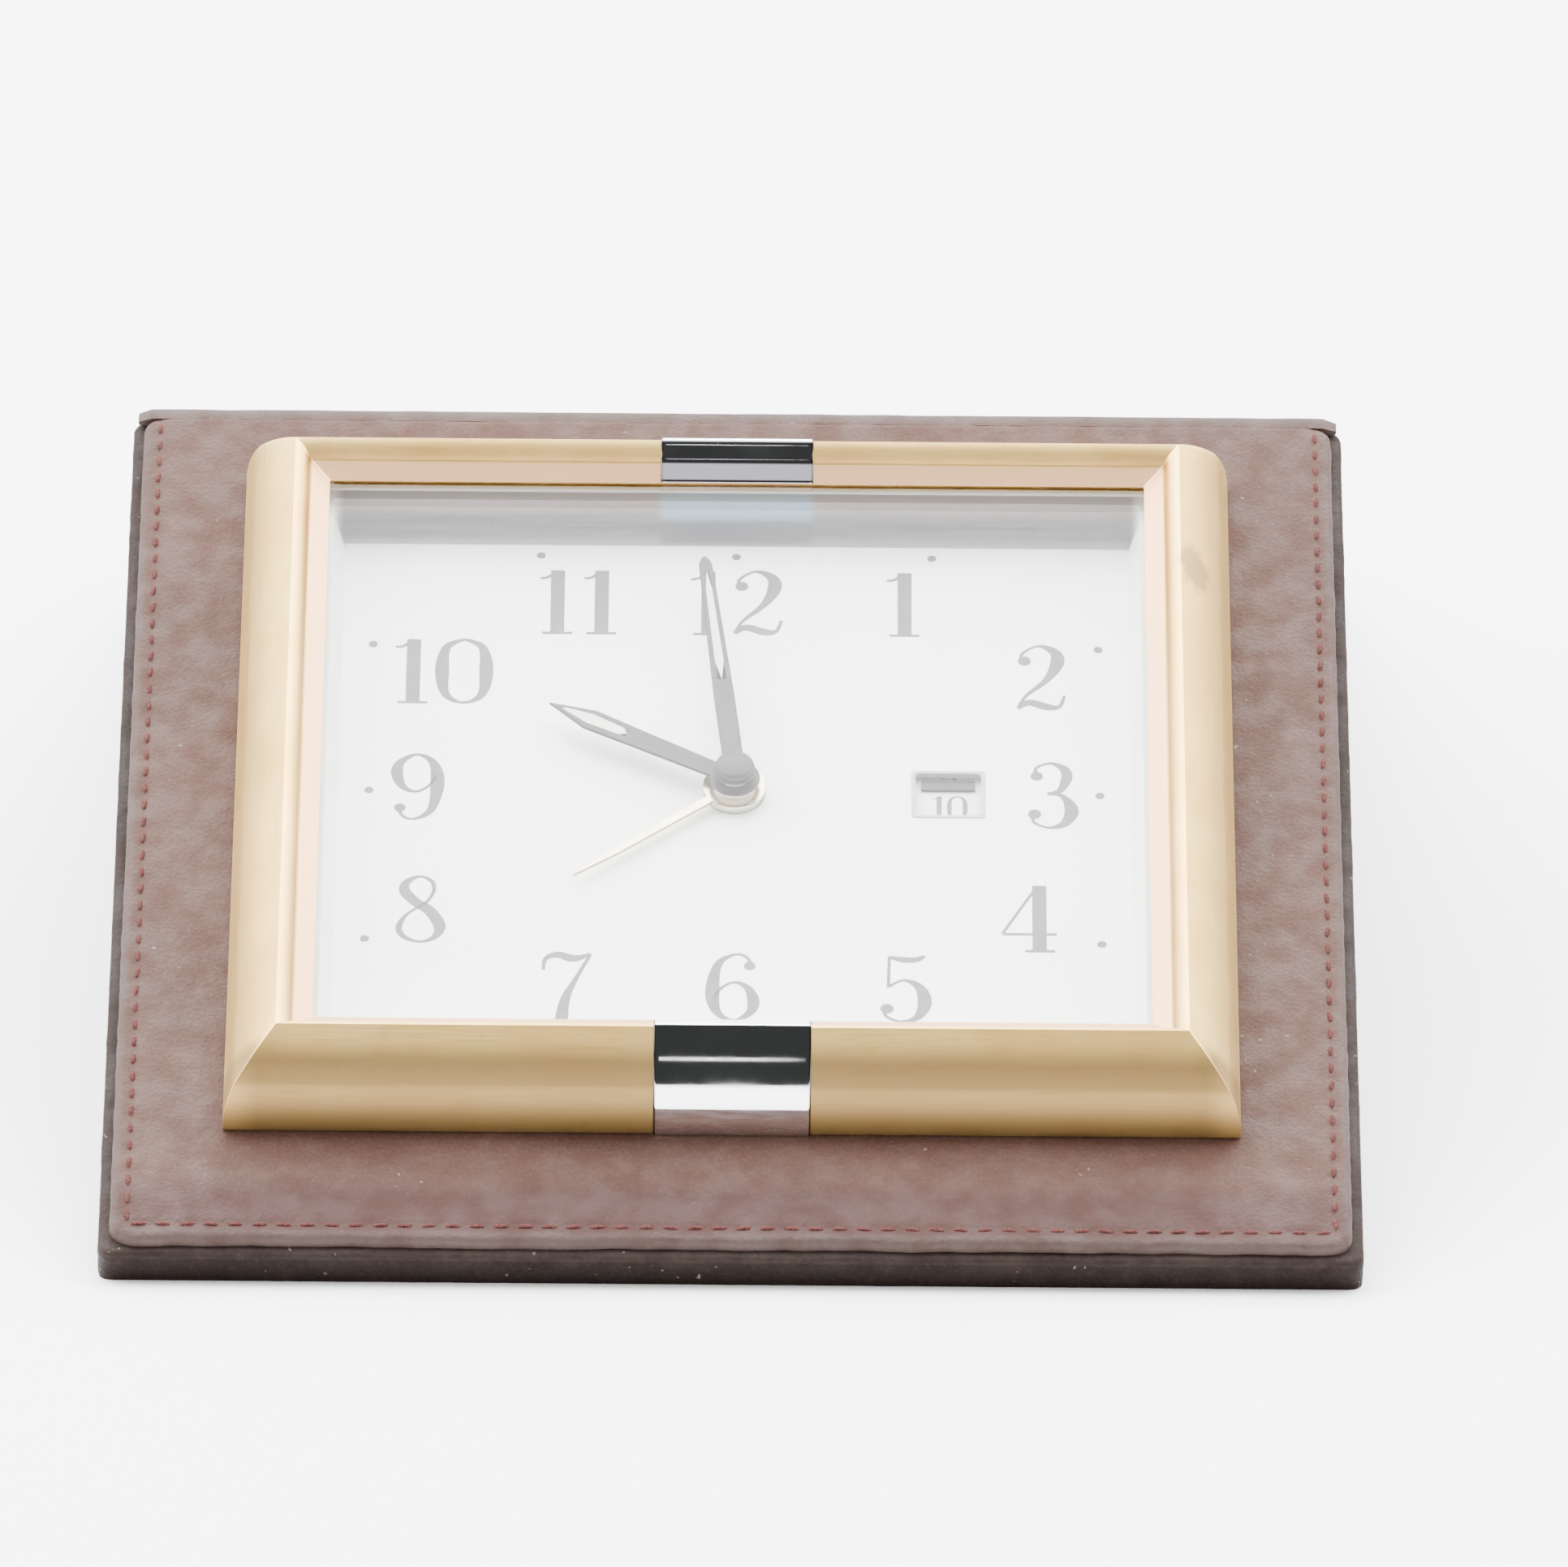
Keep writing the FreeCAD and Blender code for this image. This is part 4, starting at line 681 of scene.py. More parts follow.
def gilt_material():
    """Satin gilt, brushed along the rails, tarnished in places and stained on the right rail, with painted
    shade on the lower flank of the bottom rail, the outer slopes of the side rails and the inner slope, and a
    copper tint of painted shade on the inner chamfer.
    """
    shader = Shader("brushed_gilt", (0.80, 0.55, 0.25), 0.4, 1.0, FACE.translation[:], LEAN)
    rail = shader.node("ShaderNodeUVMap")
    rail.uv_map = "along"
    rail = rail.outputs["UV"]
    stretch = shader.pair("ShaderNodeVectorMath", "MULTIPLY", rail, (0.12, 9.0, 1.0))
    line = shader.noise(1.0, 4, 0.65, stretch["Vector"])
    smudge = shader.range(shader.noise(0.10, 4, 0.6), 0.35, 0.65)
    tarnish = shader.range(shader.noise(0.35, 5, 0.65), 0.60, 0.74)
    squeezed = shader.stretched(1.0, 0.55, 0.0)
    away = shader.pair("ShaderNodeVectorMath", "DISTANCE", squeezed, (41.8, 12.6, 0.0))["Value"]
    ragged = shader.math("ADD", away, shader.product(shader.noise(0.9, 5, 0.7), 2.6))
    # Painted shade: the lower flank of the bottom rail is darkened.
    low_flank_shade = shader.product(shader.range(shader.axis("Y"), -39.5, -37.6, 1.0, 0.0),
                           shader.range(shader.axis("Z"), 6.4, 8.6, 1.0, 0.0))
    across = shader.axis("Y", rail)
    # Painted shade: the top of the inner chamfer and the inner side of the crest are darkened.
    inner_slope_shade = shader.product(shader.range(across, 1.85, 2.0, 0.0, 0.7),
                           shader.range(across, 2.5, 3.3, 1.0, 0.0))
    tone = shader.layered((0.78, 0.50, 0.150), (smudge, (0.88, 0.60, 0.200)),
                          (shader.range(line, 0.3, 0.7, 0.0, 0.22), (0.58, 0.36, 0.115)),
                          (shader.product(tarnish, 0.25), (0.30, 0.20, 0.09)),
                          (shader.range(ragged, 2.2, 3.2, 0.6, 0.0), (0.22, 0.13, 0.075)),
                          (shader.product(low_flank_shade, 0.9), (0.20, 0.125, 0.050)),
                          # Painted shade: the outer slopes of the side rails are darkened.
                          (shader.range(shader.off_centre(), 41.8, 44.8, 0.0, 0.7), (0.46, 0.29, 0.105)),
                          (inner_slope_shade, (0.26, 0.135, 0.050)),
                          # Painted shade: a copper tint over the inner chamfer.
                          (shader.range(across, 1.8, 2.0, 0.8, 0.0), (0.58, 0.32, 0.19)))
    tangent = shader.node("ShaderNodeTangent")
    tangent.direction_type, tangent.uv_map = "UV_MAP", "along"
    return shader.finished(Base_Color=tone, Normal=shader.bump(line, 0.012, 0.5), Anisotropic=0.6,
                           Roughness=shader.range(line, 0.25, 0.75, 0.36, 0.46),
                           Anisotropic_Rotation=0.25, Tangent=tangent.outputs["Tangent"])


def bezel():
    """Mitred frame: sharp mitres below, softly rounded outer corners above."""
    section = [(-1.8, 6.45), (-1.8, 6.52)]
    section += [(-1.8 + 1.8 * step / 5, 6.52 + 0.98 * step / 5) for step in range(1, 6)]
    section += through((0.0, 7.5), (0.55, 8.36), (1.4, 8.9), 10)[1:]
    section += through((1.4, 8.9), (3.40, 6.93), (5.1, 4.74), 20)[1:]
    section += through((5.1, 4.74), (5.83, 2.75), (6.1, 0.6), 14)[1:]
    section += [(6.1, 0.35), (6.07, 0.12), (5.95, 0.02), (5.5, 0.02), (4.9, 0.02), (3.7, 4.4), (1.6, 6.9),
                (0.8, 6.4), (0.8, 1.05), (-0.3, 1.05), (-0.3, 6.45)]
    rings, uvs = [], []
    travel = 0.0
    before = section[0]
    side_steps, corner_steps = 36, 6
    for out, height in section:
        travel += math.hypot(out - before[0], height - before[1])
        before = (out, height)
        lower, upper = 0.16, 0.16 + 1.35 * max(0.0, min(1.0, (out - 1.0) / 5.0))
        outline = inset_rectangle(LIP, -out, [lower, lower, upper, upper], side_steps, corner_steps)
        rings.append(at(outline, height))
        for step, (x, y) in enumerate(outline):
            quarter = step // (side_steps + corner_steps)
            along = (x, y, -x, -y)[quarter % 4]
            uvs.append((along + quarter * 200, travel))
    points, faces = skin_rings(rings, closed_loop=True)
    piece("gilt_bezel", FACE, points, faces, gilt_material(), "leaf", "gilt", ["bezel_frame"], uvs=uvs)


bezel()


def mirror_material():
    """Polished plate, with painted shade along its two side edges and on the top plate's inner chamfer."""
    shader = Shader("bright_insert", (0.86, 0.87, 0.88), 0.05, 1.0, FACE.translation[:], LEAN)
    # Painted shade: the side edges darken where they meet the gilt.
    side = shader.range(shader.off_centre(), 6.78, 6.92)
    # Painted shade: the top plate's inner chamfer is darker.
    chamfer_shade = shader.product(shader.range(shader.axis("Y"), LIP_Y - 0.12, LIP_Y - 0.02, 1.0, 0.0),
                             shader.range(shader.axis("Y"), 0.0, 1.0))
    tone = shader.layered((0.86, 0.87, 0.88), (chamfer_shade, (0.48, 0.44, 0.49)), (side, (0.09, 0.08, 0.08)))
    dull = shader.range(shader.noise(0.25, 4, 0.6), 0.35, 0.7, 0.04, 0.09)
    return shader.finished(Base_Color=tone, Roughness=dull)


mirror = mirror_material()


def insert(name, node, side):
    """Polished plate that wraps the rail from the glass to the leather, its edges slightly rounded."""
    section = [(-1.76, 6.52), (-1.78, 6.60), (-1.74, 6.68)]
    section += [(-1.74 + 1.66 * step / 8, 6.68 + 0.93 * step / 8) for step in range(1, 9)]
    section += [(-0.08 + 1.08 * step / 6, 7.61 + 1.38 * step / 6) for step in range(1, 7)]
    section += [(1.10, 9.08), (1.22, 9.13), (1.42, 9.15)]
    section += through((1.42, 9.15), (3.58, 7.10), (5.33, 4.84), 22)[1:]
    section += through((5.33, 4.84), (6.08, 2.80), (6.35, 0.6), 14)[1:]
    section += [(6.35, 0.25), (6.28, 0.06), (6.0, 0.06), (5.5, 0.6), (4.2, 5.0), (1.4, 7.9)]
    columns = [-7.0, -6.97, -6.9, -6.75] + [-6.5 + step for step in range(14)] + [6.75, 6.9, 6.97, 7.0]
    sunk = {0: 0.13, 1: 0.06, 2: 0.015}
    rings = []
    for number, x in enumerate(columns):
        depth = sunk.get(min(number, len(columns) - 1 - number), 0.0)
        ring = []
        for step, (out, height) in enumerate(section):
            dy, dz = heading(section[step - 1], section[(step + 1) % len(section)])
            out, height = out + dz * depth, height - dy * depth
            ring.append((x, side * (LIP_Y + out), height))
        rings.append(ring)
    piece(name, FACE, *skin_rings(rings, capped=True), mirror, "leaf", "bright", [node])


insert("bright_top", "top_insert", 1)
insert("bright_bottom", "bottom_insert", -1)


# ---- Crystal ----

def glass_material():
    """Clear plate with a faint reflection that grows at grazing angles."""
    shader = Shader("clear_crystal", (1, 1, 1), 0.03, 1.0)
    clear = shader.node("ShaderNodeBsdfTransparent", Color=(0.985, 0.99, 0.985))
    facing = shader.node("ShaderNodeLayerWeight").outputs["Facing"]
    share = shader.math("ADD", shader.product(shader.math("POWER", facing, 5.0), 0.6), 0.014)
    mix = shader.node("ShaderNodeMixShader")
    for number, source in enumerate((share, clear.outputs[0], shader.surface.outputs[0])):
        shader.link(source, mix.inputs[number])
    shader.link(mix.outputs[0], shader.tree.nodes["Material Output"].inputs["Surface"])
    return shader.material


def crystal():
    """Flat plate, its upper edge rounded."""
    bounds = (-38.6, 38.6, -36.1, 36.1)
    low, high = 4.9, 6.4
    section = [(0.0, low), (0.0, high - 0.35), (0.12, high - 0.16), (0.35, high - 0.04), (0.6, high)]
    rings = [at(inset_rectangle(bounds, inset, [0.5] * 4, 20, 6), height) for inset, height in section]
    piece("crystal_plate", FACE, *skin_rings(rings, capped=True), glass_material(), "leaf", "clear",
          ["crystal"])


crystal()


# ---- Dial print ----

def smooth_line(marks, steps=8):
    """Catmull-Rom curve through (x, y, width) marks."""
    if len(marks) < 3:
        return marks
    padded = [marks[0]] + marks + [marks[-1]]
    result = []
    for number in range(1, len(padded) - 2):
        p0, p1, p2, p3 = padded[number - 1:number + 3]
        for step in range(steps):
            t = step / steps
            result.append(tuple(0.5 * (2 * b + (c - a) * t + (2 * a - 5 * b + 4 * c - d) * t * t
                                       + (3 * b - a - 3 * c + d) * t ** 3)
                                for a, b, c, d in zip(p0, p1, p2, p3)))
    result.append(marks[-1])
    return result


def stroke(marks):
    """Outline strip of a pen stroke whose width changes along it."""
    line = smooth_line(marks)
    left, right = [], []
    for number, (x, y, width) in enumerate(line):
        dx, dy = beside(line, number)
        left.append((x - dy * width / 2, y + dx * width / 2))
        right.append((x + dy * width / 2, y - dx * width / 2))
    return left, right


# Each digit, in units of its height: its width, its pen strokes as (x, y, pen width) marks, and its
# round ends as (x, y, radius).
HAIR, STEM = 0.035, 0.15
DIGITS = {
    "0": (0.62, [[(0.31, 0.985, HAIR), (0.12, 0.86, 0.09), (0.075, 0.5, STEM), (0.12, 0.14, 0.09),
                  (0.31, 0.015, HAIR), (0.50, 0.14, 0.09), (0.545, 0.5, STEM), (0.50, 0.86, 0.09),
                  (0.31, 0.985, HAIR)]], []),
    "1": (0.42, [[(0.24, 0.0, STEM), (0.24, 0.98, STEM)], [(0.08, 0.015, HAIR), (0.40, 0.015, HAIR)],
                 [(0.05, 0.86, HAIR), (0.13, 0.875, HAIR), (0.24, 0.975, 0.05)]], []),
    "2": (0.60, [[(0.115, 0.74, 0.05), (0.10, 0.86, HAIR), (0.27, 0.985, HAIR), (0.44, 0.90, 0.11),
                  (0.475, 0.73, STEM), (0.36, 0.47, 0.08), (0.14, 0.22, 0.04), (0.06, 0.05, HAIR)],
                 [(0.05, 0.03, 0.05), (0.17, 0.12, 0.09), (0.36, 0.055, 0.10), (0.49, 0.06, 0.05),
                  (0.55, 0.23, HAIR)]], [(0.125, 0.755, 0.07)]),
    "3": (0.58, [[(0.12, 0.80, 0.05), (0.13, 0.92, HAIR), (0.28, 0.985, HAIR), (0.42, 0.90, 0.10),
                  (0.445, 0.76, 0.12), (0.37, 0.57, 0.07), (0.24, 0.525, HAIR)],
                 [(0.24, 0.525, HAIR), (0.40, 0.49, 0.06), (0.495, 0.28, STEM), (0.42, 0.08, 0.10),
                  (0.26, 0.015, HAIR), (0.10, 0.09, HAIR), (0.09, 0.21, 0.05)]],
          [(0.13, 0.79, 0.066), (0.105, 0.215, 0.07)]),
    "4": (0.62, [[(0.42, 0.0, STEM), (0.42, 0.99, STEM)], [(0.40, 0.985, 0.03), (0.035, 0.28, HAIR)],
                 [(0.03, 0.265, HAIR), (0.60, 0.265, HAIR)], [(0.27, 0.015, HAIR), (0.58, 0.015, HAIR)]], []),
    "5": (0.58, [[(0.13, 0.96, HAIR), (0.12, 0.52, HAIR)],
                 [(0.12, 0.97, HAIR), (0.28, 0.93, 0.08), (0.42, 0.935, 0.07), (0.50, 0.99, HAIR)],
                 [(0.12, 0.53, HAIR), (0.28, 0.625, HAIR), (0.44, 0.53, 0.10), (0.50, 0.31, STEM),
                  (0.43, 0.09, 0.09), (0.26, 0.015, HAIR), (0.10, 0.09, HAIR), (0.085, 0.20, 0.05)]],
          [(0.105, 0.205, 0.07)]),
    "6": (0.60, [[(0.49, 0.83, 0.04), (0.44, 0.95, HAIR), (0.31, 0.985, HAIR), (0.14, 0.83, 0.09),
                  (0.085, 0.42, STEM), (0.14, 0.13, 0.09), (0.31, 0.015, HAIR), (0.475, 0.13, 0.09),
                  (0.515, 0.30, 0.13), (0.45, 0.50, 0.08), (0.31, 0.575, HAIR), (0.17, 0.48, HAIR),
                  (0.10, 0.33, HAIR)]], [(0.475, 0.82, 0.062)]),
    "7": (0.58, [[(0.055, 0.74, HAIR), (0.075, 0.90, 0.05), (0.20, 0.965, 0.09), (0.36, 0.91, 0.10),
                  (0.50, 0.955, 0.05), (0.545, 0.985, HAIR)],
                 [(0.545, 0.975, HAIR), (0.40, 0.62, 0.05), (0.29, 0.32, 0.10), (0.25, 0.0, 0.14)]], []),
    "8": (0.60, [[(0.44, 0.77, 0.04), (0.42, 0.90, 0.05), (0.30, 0.985, HAIR), (0.16, 0.91, 0.08),
                  (0.13, 0.77, 0.12), (0.25, 0.60, 0.12), (0.40, 0.47, 0.13), (0.505, 0.25, 0.13),
                  (0.45, 0.08, 0.07), (0.30, 0.015, HAIR), (0.13, 0.09, 0.06), (0.08, 0.24, 0.07),
                  (0.17, 0.43, HAIR), (0.36, 0.60, HAIR), (0.44, 0.77, 0.04)]], []),
}
DIGITS["9"] = (0.60, [[(0.60 - x, 1.0 - y, width) for x, y, width in line] for line in DIGITS["6"][1]],
               [(0.60 - x, 1.0 - y, radius) for x, y, radius in DIGITS["6"][2]])


def printed(text, centre, height, level, gap=0.05, thick=0.02):
    """Raised ink of a number, centred on a point."""
    scale = height
    total = sum(DIGITS[digit][0] for digit in text) + gap * (len(text) - 1)
    pen = centre[0] - total * scale / 2
    base = centre[1] - height / 2
    parts = []
    layer = 0
    for digit in text:
        width, lines, balls = DIGITS[digit]
        for line in lines:
            left, right = stroke(line)
            lift = level + thick + layer * 0.0015
            layer += 1
            top = [[(pen + x * scale, base + y * scale, lift) for x, y in side] for side in (left, right)]
            foot = [[(x, y, level - 0.03) for x, y, _ in side] for side in reversed(top)]
            points, faces = [], []
            count = len(left)
            for ring in top + foot:
                points += ring
            for step in range(count - 1):
                for band in range(4):
                    here, there = band * count, (band + 1) % 4 * count
                    faces.append((here + step, here + step + 1, there + step + 1, there + step))
            faces.append((0, count, 2 * count, 3 * count))
            faces.append((count - 1, 2 * count - 1, 3 * count - 1, 4 * count - 1))
            parts.append((points, faces))
        for x, y, radius in balls:
            parts.append(disc((pen + x * scale, base + y * scale), radius * scale, level - 0.03,
                              level + thick + 0.01, 18))
        pen += (width + gap) * scale
    return merge(parts)


def disc(centre, radius, low_z, high_z, sides=24, bevel=0.0):
    section = [(0, low_z), (0, high_z - bevel), (bevel, high_z)]
    if not bevel:
        section.pop()
    rings = [at(circle(radius - inset, sides, centre), height) for inset, height in section]
    return skin_rings(rings, capped=True)


DIAL_TOP = 0.8
NUMERALS = {"12": (0.0, 25.0), "1": (15.2, 25.0), "2": (27.9, 15.4), "3": (28.8, 0.0),
            "4": (26.6, -15.9), "5": (15.4, -25.0), "6": (0.0, -25.0), "7": (-15.0, -25.0),
            "8": (-28.2, -15.3), "9": (-28.8, 0.5), "10": (-26.8, 15.7), "11": (-14.6, 25.0)}
ink = plastic("dial_ink", (0.095, 0.095, 0.102), 0.6, 0.005)
# Black for the painted shadow bar at the top of the date window.
window_shadow_paint = plastic("window_black", (0.012, 0.012, 0.013), 0.5, 0.005)


def dial_print():
    parts = [printed(text, spot, 8.6, DIAL_TOP) for text, spot in NUMERALS.items()]
    wide, tall = 33.15, 31.1
    for hour in range(12):
        turn = math.radians(90 - 30 * hour)
        ray = (math.cos(turn), math.sin(turn))
        reach = min(wide / abs(ray[0]) if abs(ray[0]) > 1e-6 else 1e9,
                    tall / abs(ray[1]) if abs(ray[1]) > 1e-6 else 1e9)
        parts.append(disc((ray[0] * reach, ray[1] * reach), 0.42, DIAL_TOP - 0.03, DIAL_TOP + 0.03, 20))
    points, faces = merge(parts)
    piece("dial_numerals", FACE, points, faces, ink, "leaf", "hand_dark")


dial_print()


def window_frame():
    """Thin printed outline round the date window, and a black bar across its top that is painted shadow of
    the window's upper edge.
    """
    x, wide, tall = 19.4, 3.0, 2.7
    bounds = (x - wide, x + wide, -tall, tall)
    section = [(-0.02, 0.35), (-0.02, 0.86), (0.05, 0.90), (0.30, 0.90), (0.36, 0.84), (0.36, 0.78)]
    rings = [at(inset_rectangle(bounds, -out, [0.35] * 4, 6, 4), height) for out, height in section]
    frame_paint = plastic("window_grey", (0.42, 0.42, 0.43), 0.4, 0.004)
    piece("window_outline", FACE, *skin_rings(rings, True), frame_paint, "leaf", "surround")
    # Painted shadow: a black bar under the window's upper edge.
    bar = round_rectangle(x - wide + 0.55, x + wide - 0.55, 1.15, tall - 0.35, [0.15] * 4, 4, 3)
    rings = [at(bar, 0.05), at(bar, 0.30)]
    piece("window_shadow_bar", FACE, *skin_rings(rings, capped=True), window_shadow_paint, "leaf", "hand_dark")


window_frame()


def date_numbers():
    """All 31 numbers round the date ring. The one in the window reads upright."""
    parts = []
    for day in range(1, 32):
        points, faces = printed(str(day), (19.5, -0.9), 3.1, 0.0, 0.04, 0.01)
        parts.append((turned(points, -2 * math.pi * (day - 10) / 31), faces))
    points, faces = merge(parts)
    piece("date_print", FACE, points, faces, ink, "date", "hand_dark")


date_numbers()


# ---- Hands ----

hand_paint = plastic("hand_paint", (0.016, 0.015, 0.016), 0.5, 0.004)
hand_gilt = metal("pale_gilt", (0.80, 0.66, 0.46), 0.25, (1, 1, 1), 0.003)
lume = plastic("lume_fill", (0.80, 0.82, 0.74), 0.75, 0.03)


def hand_blade(name, node, outline, slot, hub, level, hours, body, material, slot_name):
    """A bevelled hand along +X turned to its hour, with an open slot for the luminous fill."""
    thick, bevel = 0.25, 0.07

    def ring(shape, inset, height):
        middle = sum(x for x, _ in shape) / len(shape)
        result = []
        for x, y in shape:
            grow = 1.0 if abs(y) < 1e-6 else (abs(y) - inset) / abs(y)
            result.append((middle + (x - middle) * (1 - inset * 0.03), y * grow, height))
        return result

    outer = outline + [(x, -y) for x, y in reversed(outline) if y > 1e-6]
    parts = []
    if slot:
        inner = slot + [(x, -y) for x, y in reversed(slot) if y > 1e-6]
        parts.append(slotted(outer, inner, level, thick, bevel))
    else:
        rings = [ring(outer, 0, level), ring(outer, 0, level + thick - bevel),
                 ring(outer, bevel, level + thick)]
        parts.append(skin_rings(rings, capped=True))
    parts.append(disc((0, 0), hub, level - 0.001, level + thick + 0.002, 48, bevel))
    points, faces = merge(parts)
    points = turned(points, math.radians(90 - 30 * hours))
    piece(name, FACE, points, faces, material, body, slot_name, [node])


def welded(points, faces):
    """Shares points that coincide, and drops faces that collapse."""
    index, kept, moved = {}, [], []
    for point in points:
        key = tuple(round(value, 6) for value in point)
        if key not in index:
            index[key] = len(kept)
            kept.append(point)
        moved.append(index[key])
    result = []
    for face in faces:
        ring = [moved[corner] for corner in face]
        ring = [corner for step, corner in enumerate(ring) if corner != ring[step - 1]]
        if len(set(ring)) > 2:
            result.append(tuple(ring))
    return kept, result


def slotted(outer, inner, level, thick, bevel):
    """Closed blade with a slot: both outlines resampled by X so that they pair up."""
    def sample(shape, x, sign):
        side = sorted((px, abs(py)) for px, py in shape if py * sign >= -1e-9)
        for (x1, y1), (x2, y2) in zip(side, side[1:]):
            if x1 <= x <= x2 and x2 > x1:
                return y1 + (y2 - y1) * (x - x1) / (x2 - x1)
        return 0.0

    first, last = inner[0][0], max(x for x, _ in inner)
    reach = max(x for x, _ in outer)
    parts = []
    for sign in (1, -1):
        stations = sorted({0.0, reach, first, last} | {x for x, _ in outer if 0 <= x <= reach}
                          | {x for x, _ in inner})
        fine = []
        for a, b in zip(stations, stations[1:]):
            fine += [a + (b - a) * step / 6 for step in range(6)]
        fine.append(reach)
        rows = []
        for x in fine:
            far = sample(outer, x, sign)
            near = sample(inner, x, sign) if first < x < last else 0.0
            edge, high = max(near, far - bevel), level + thick
            section = ((near, level), (far, level), (far, high - bevel), (edge, high), (near, high))
            rows.append([(x, sign * side, height) for side, height in section])
        points = [point for row in rows for point in row]
        faces = []
        for step in range(len(rows) - 1):
            open_here = rows[step][0][1] != 0 or rows[step + 1][0][1] != 0
            for band in range(5 if open_here else 4):
                here, there = step * 5, (step + 1) * 5
                after = (band + 1) % 5
                faces.append((here + band, here + after, there + after, there + band))
        faces += [tuple(range(5)), tuple(range(len(points) - 5, len(points)))]
        parts.append((points, faces))
    return welded(*merge(parts))


HOUR_AT, MINUTE_AT, ALARM_AT = 9 + 59 / 60, 59 / 5, 7.7
hour_long, minute_long, alarm_long = 19.4, 28.1, 18.7
hand_blade("hour_blade", "hour_hand",
           [(0, 0.9), (hour_long * 0.55, 1.12), (hour_long * 0.78, 1.25), (hour_long, 0.03)],
           [(hour_long * 0.58, 0.45), (hour_long * 0.78, 0.62), (hour_long * 0.93, 0.12)],
           2.3, 2.6, HOUR_AT, "hour", hand_paint, "hand_dark")
hand_blade("minute_blade", "minute_hand",
           [(0, 0.95), (minute_long * 0.35, 0.95), (minute_long * 0.97, 0.6), (minute_long, 0.2)],
           [(minute_long * 0.42, 0.42), (minute_long * 0.93, 0.26)],
           1.9, 3.6, MINUTE_AT, "minute", hand_paint, "hand_dark")
hand_blade("alarm_blade", "alarm_hand", [(0, 0.5), (alarm_long * 0.75, 0.4), (alarm_long, 0.1)], None,
           2.9, 1.6, ALARM_AT, "alarm", hand_gilt, "hand_gilt")


def cap():
    """Domed cap over the hands."""
    section = [(1.75, 3.85), (1.75, 4.32), (1.68, 4.46), (1.5, 4.55), (0.9, 4.62), (0.3, 4.64)]
    rings = [at(circle(radius, 48), height) for radius, height in section]
    piece("hand_cap_dome", FACE, *skin_rings(rings, capped=True), hand_paint, "minute", "hand_dark",
          ["hand_cap"])


cap()


# ---- Finishes of the pieces kept from the CAD model ----

def recorded(slot):
    return tuple(colours[slot][:3])


def surround_material():
    """Off-white sides; the upper wall is a grey satin strip of painted shade with fine lines along it,
    lighter near its top, paler where it fades into the dial, and with a bluish painted reflection of the
    bright insert at its middle.
    """
    shader = Shader("dial_surround", (0.74, 0.74, 0.73), 0.3, 0.0, FACE.translation[:], LEAN)
    line = shader.noise(1.0, 4, 0.6, shader.stretched(0.05, 2.2, 2.2))
    height = shader.axis("Z")
    # Painted reflection: a bluish patch of the bright insert at the middle of the upper wall.
    insert_reflection = shader.mix(shader.range(height, 2.6, 3.5), (0.010, 0.013, 0.030), (0.17, 0.30, 0.42))
    centre = shader.range(shader.off_centre(), 6.6, 7.3, 0.8, 0.0)
    # Painted shade: the grey strip, lighter near its top and paler where it meets the dial.
    grey = shader.layered((0.022, 0.017, 0.020), (shader.range(line, 0.38, 0.60), (0.085, 0.074, 0.080)),
                          (shader.range(height, 3.0, 3.9, 0.0, 0.85), (0.20, 0.165, 0.155)),
                          (shader.range(height, 0.8, 1.8, 0.8, 0.0), (0.30, 0.28, 0.28)),
                          (shader.product(centre, shader.range(height, 0.8, 1.3)), insert_reflection))
    # The painted shade lies on the upper wall only, fading towards the corners.
    upper = shader.range(shader.axis("Y"), 31.9, 32.3)
    inside = shader.range(shader.off_centre(), 36.0, 37.2, 1.0, 0.25)
    return shader.finished(Base_Color=shader.mix(shader.product(upper, inside), (0.80, 0.80, 0.79), grey))


finishes = {
    "board": plastic("greyboard", recorded("board"), 0.9, 0.05),
    "seal": plastic("milky_seal", recorded("seal"), 0.6),
    "surround": surround_material(),
    "dial_white": plastic("dial_lacquer", (0.96, 0.96, 0.955), 0.45, 0.003, spread=0.02),
    "date_white": plastic("date_paint", (0.86, 0.86, 0.85), 0.6, 0.004, spread=0.03),
    "hand_dark": hand_paint,
    "hand_gilt": hand_gilt,
    "glow": lume,
    "gear_white": plastic("gear_plastic", recorded("gear_white"), 0.45),
    "steel": metal("plain_steel", recorded("steel"), 0.3, (1, 6, 6), 0.006),
    "movement_black": plastic("movement_plastic", recorded("movement_black"), 0.5, 0.03),
    "case_black": plastic("case_plastic", (0.030, 0.030, 0.033), 0.48, 0.035),
    "copper": metal("copper_wire", recorded("copper"), 0.3, (0.5, 14, 14), 0.05),
    "circuit_green": plastic("solder_mask", recorded("circuit_green"), 0.3),
    "gold_contact": metal("contact_strip", recorded("gold_contact"), 0.25, (6, 1, 6), 0.004),
    "thread": thread,
    "dark_leather": edge_hide,
    "brown_leather": face_hide,
}
for part in frame["record"]["subparts"]:
    item = bpy.data.objects.get(part["node"])
    if item and part["material_slot"] in finishes:
        item.data.materials.clear()
        item.data.materials.append(finishes[part["material_slot"]])


# ---- Floor, light and surroundings ----

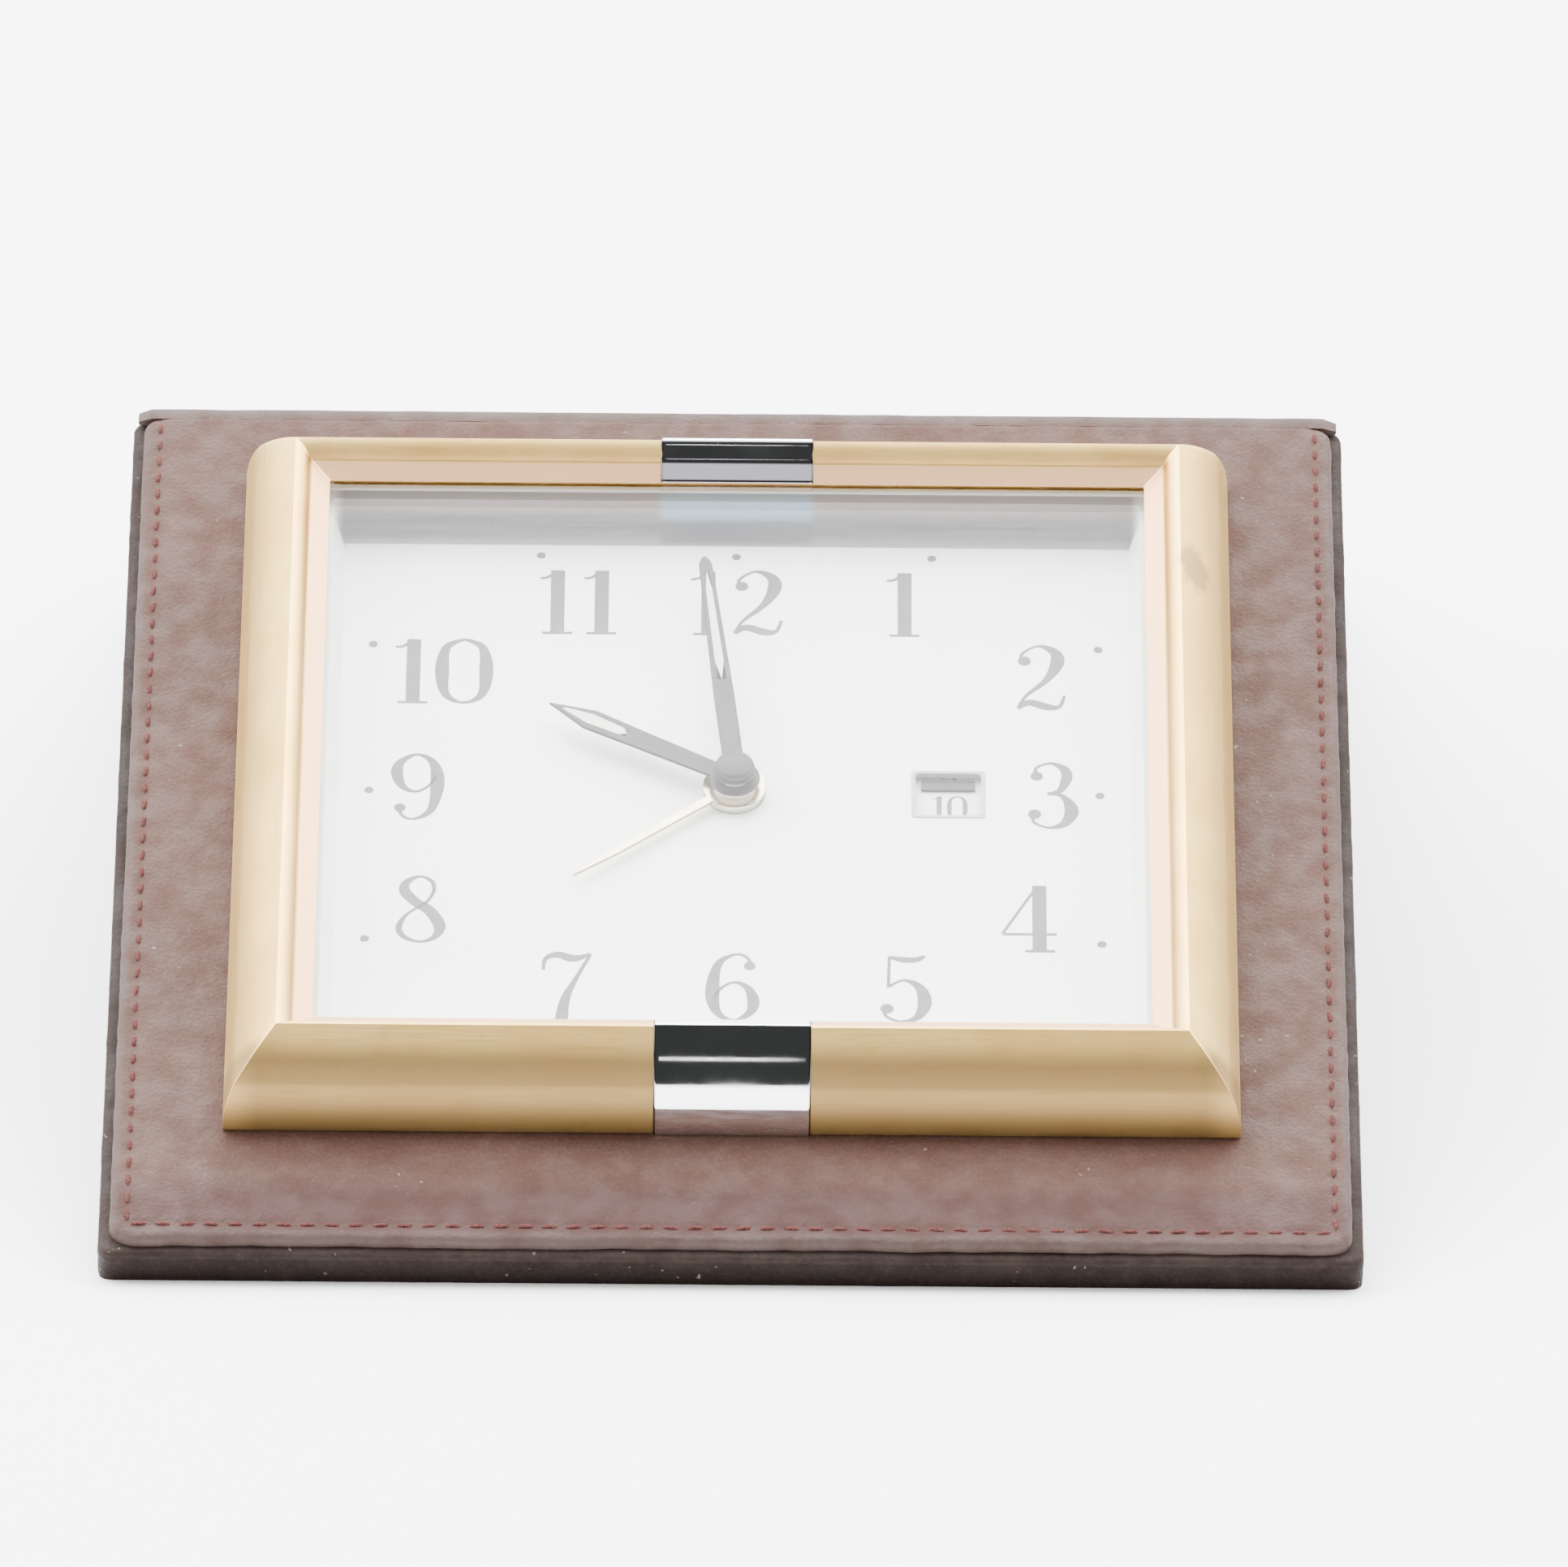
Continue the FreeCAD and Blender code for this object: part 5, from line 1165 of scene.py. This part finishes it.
def floor():
    size, steps = 2.4 / MM, 12
    marks = [(step / steps * 2 - 1) * size for step in range(steps + 1)]
    points = [(x, y, 0) for y in marks for x in marks]
    faces = [(here, here + 1, here + steps + 2, here + steps + 1)
             for row in range(steps) for here in range(row * (steps + 1), row * (steps + 1) + steps)]
    paper = plastic("paper_floor", (0.93, 0.93, 0.93), 0.9, 0.01, spread=0.0)
    piece("paper_floor", Matrix.Scale(MM, 4), points, faces, paper, None, None)


floor()


def softbox(name, place, aim_at, width, height, power):
    light = bpy.data.lights.new(name, "AREA")
    light.shape = "RECTANGLE"
    light.size, light.size_y = width, height
    light.energy = power
    item = bpy.data.objects.new(name, light)
    bpy.context.scene.collection.objects.link(item)
    item.location = place
    item.rotation_euler = (Vector(aim_at) - Vector(place)).to_track_quat("-Z", "Y").to_euler()


softbox("overhead", (0.0, 0.55, 1.40), (0, 0, 0), 2.6, 1.9, 190)
softbox("left_wall", (-1.3, -0.1, 0.75), (0, 0, 0), 1.3, 1.3, 66)
softbox("right_wall", (1.3, -0.1, 0.8), (0, 0, 0), 0.8, 1.0, 34)
softbox("small_window", (-0.0035, -1.3, 0.31), (0, 0, 0.02), 0.0175, 0.035, 0.008)


def studio_world():
    """Bright overhead and behind, dark low in front, as in a small studio."""
    world = bpy.data.worlds.new("studio")
    bpy.context.scene.world = world
    world.use_nodes = True
    nodes, links = world.node_tree.nodes, world.node_tree.links
    place = nodes.new("ShaderNodeTexCoord")
    tilt = nodes.new("ShaderNodeVectorMath")
    tilt.operation = "DOT_PRODUCT"
    tilt.inputs[1].default_value = (0.0, 0.45, 0.9)
    spread = nodes.new("ShaderNodeMapRange")
    spread.interpolation_type = "SMOOTHSTEP"
    for name, value in (("From Min", 0.12), ("From Max", 0.66), ("To Min", 0.05), ("To Max", 2.6)):
        spread.inputs[name].default_value = value
    links.new(place.outputs["Generated"], tilt.inputs[0])
    links.new(tilt.outputs["Value"], spread.inputs["Value"])
    links.new(spread.outputs["Result"], nodes["Background"].inputs["Strength"])
    nodes["Background"].inputs["Color"].default_value = (0.97, 0.99, 1.0, 1)


studio_world()
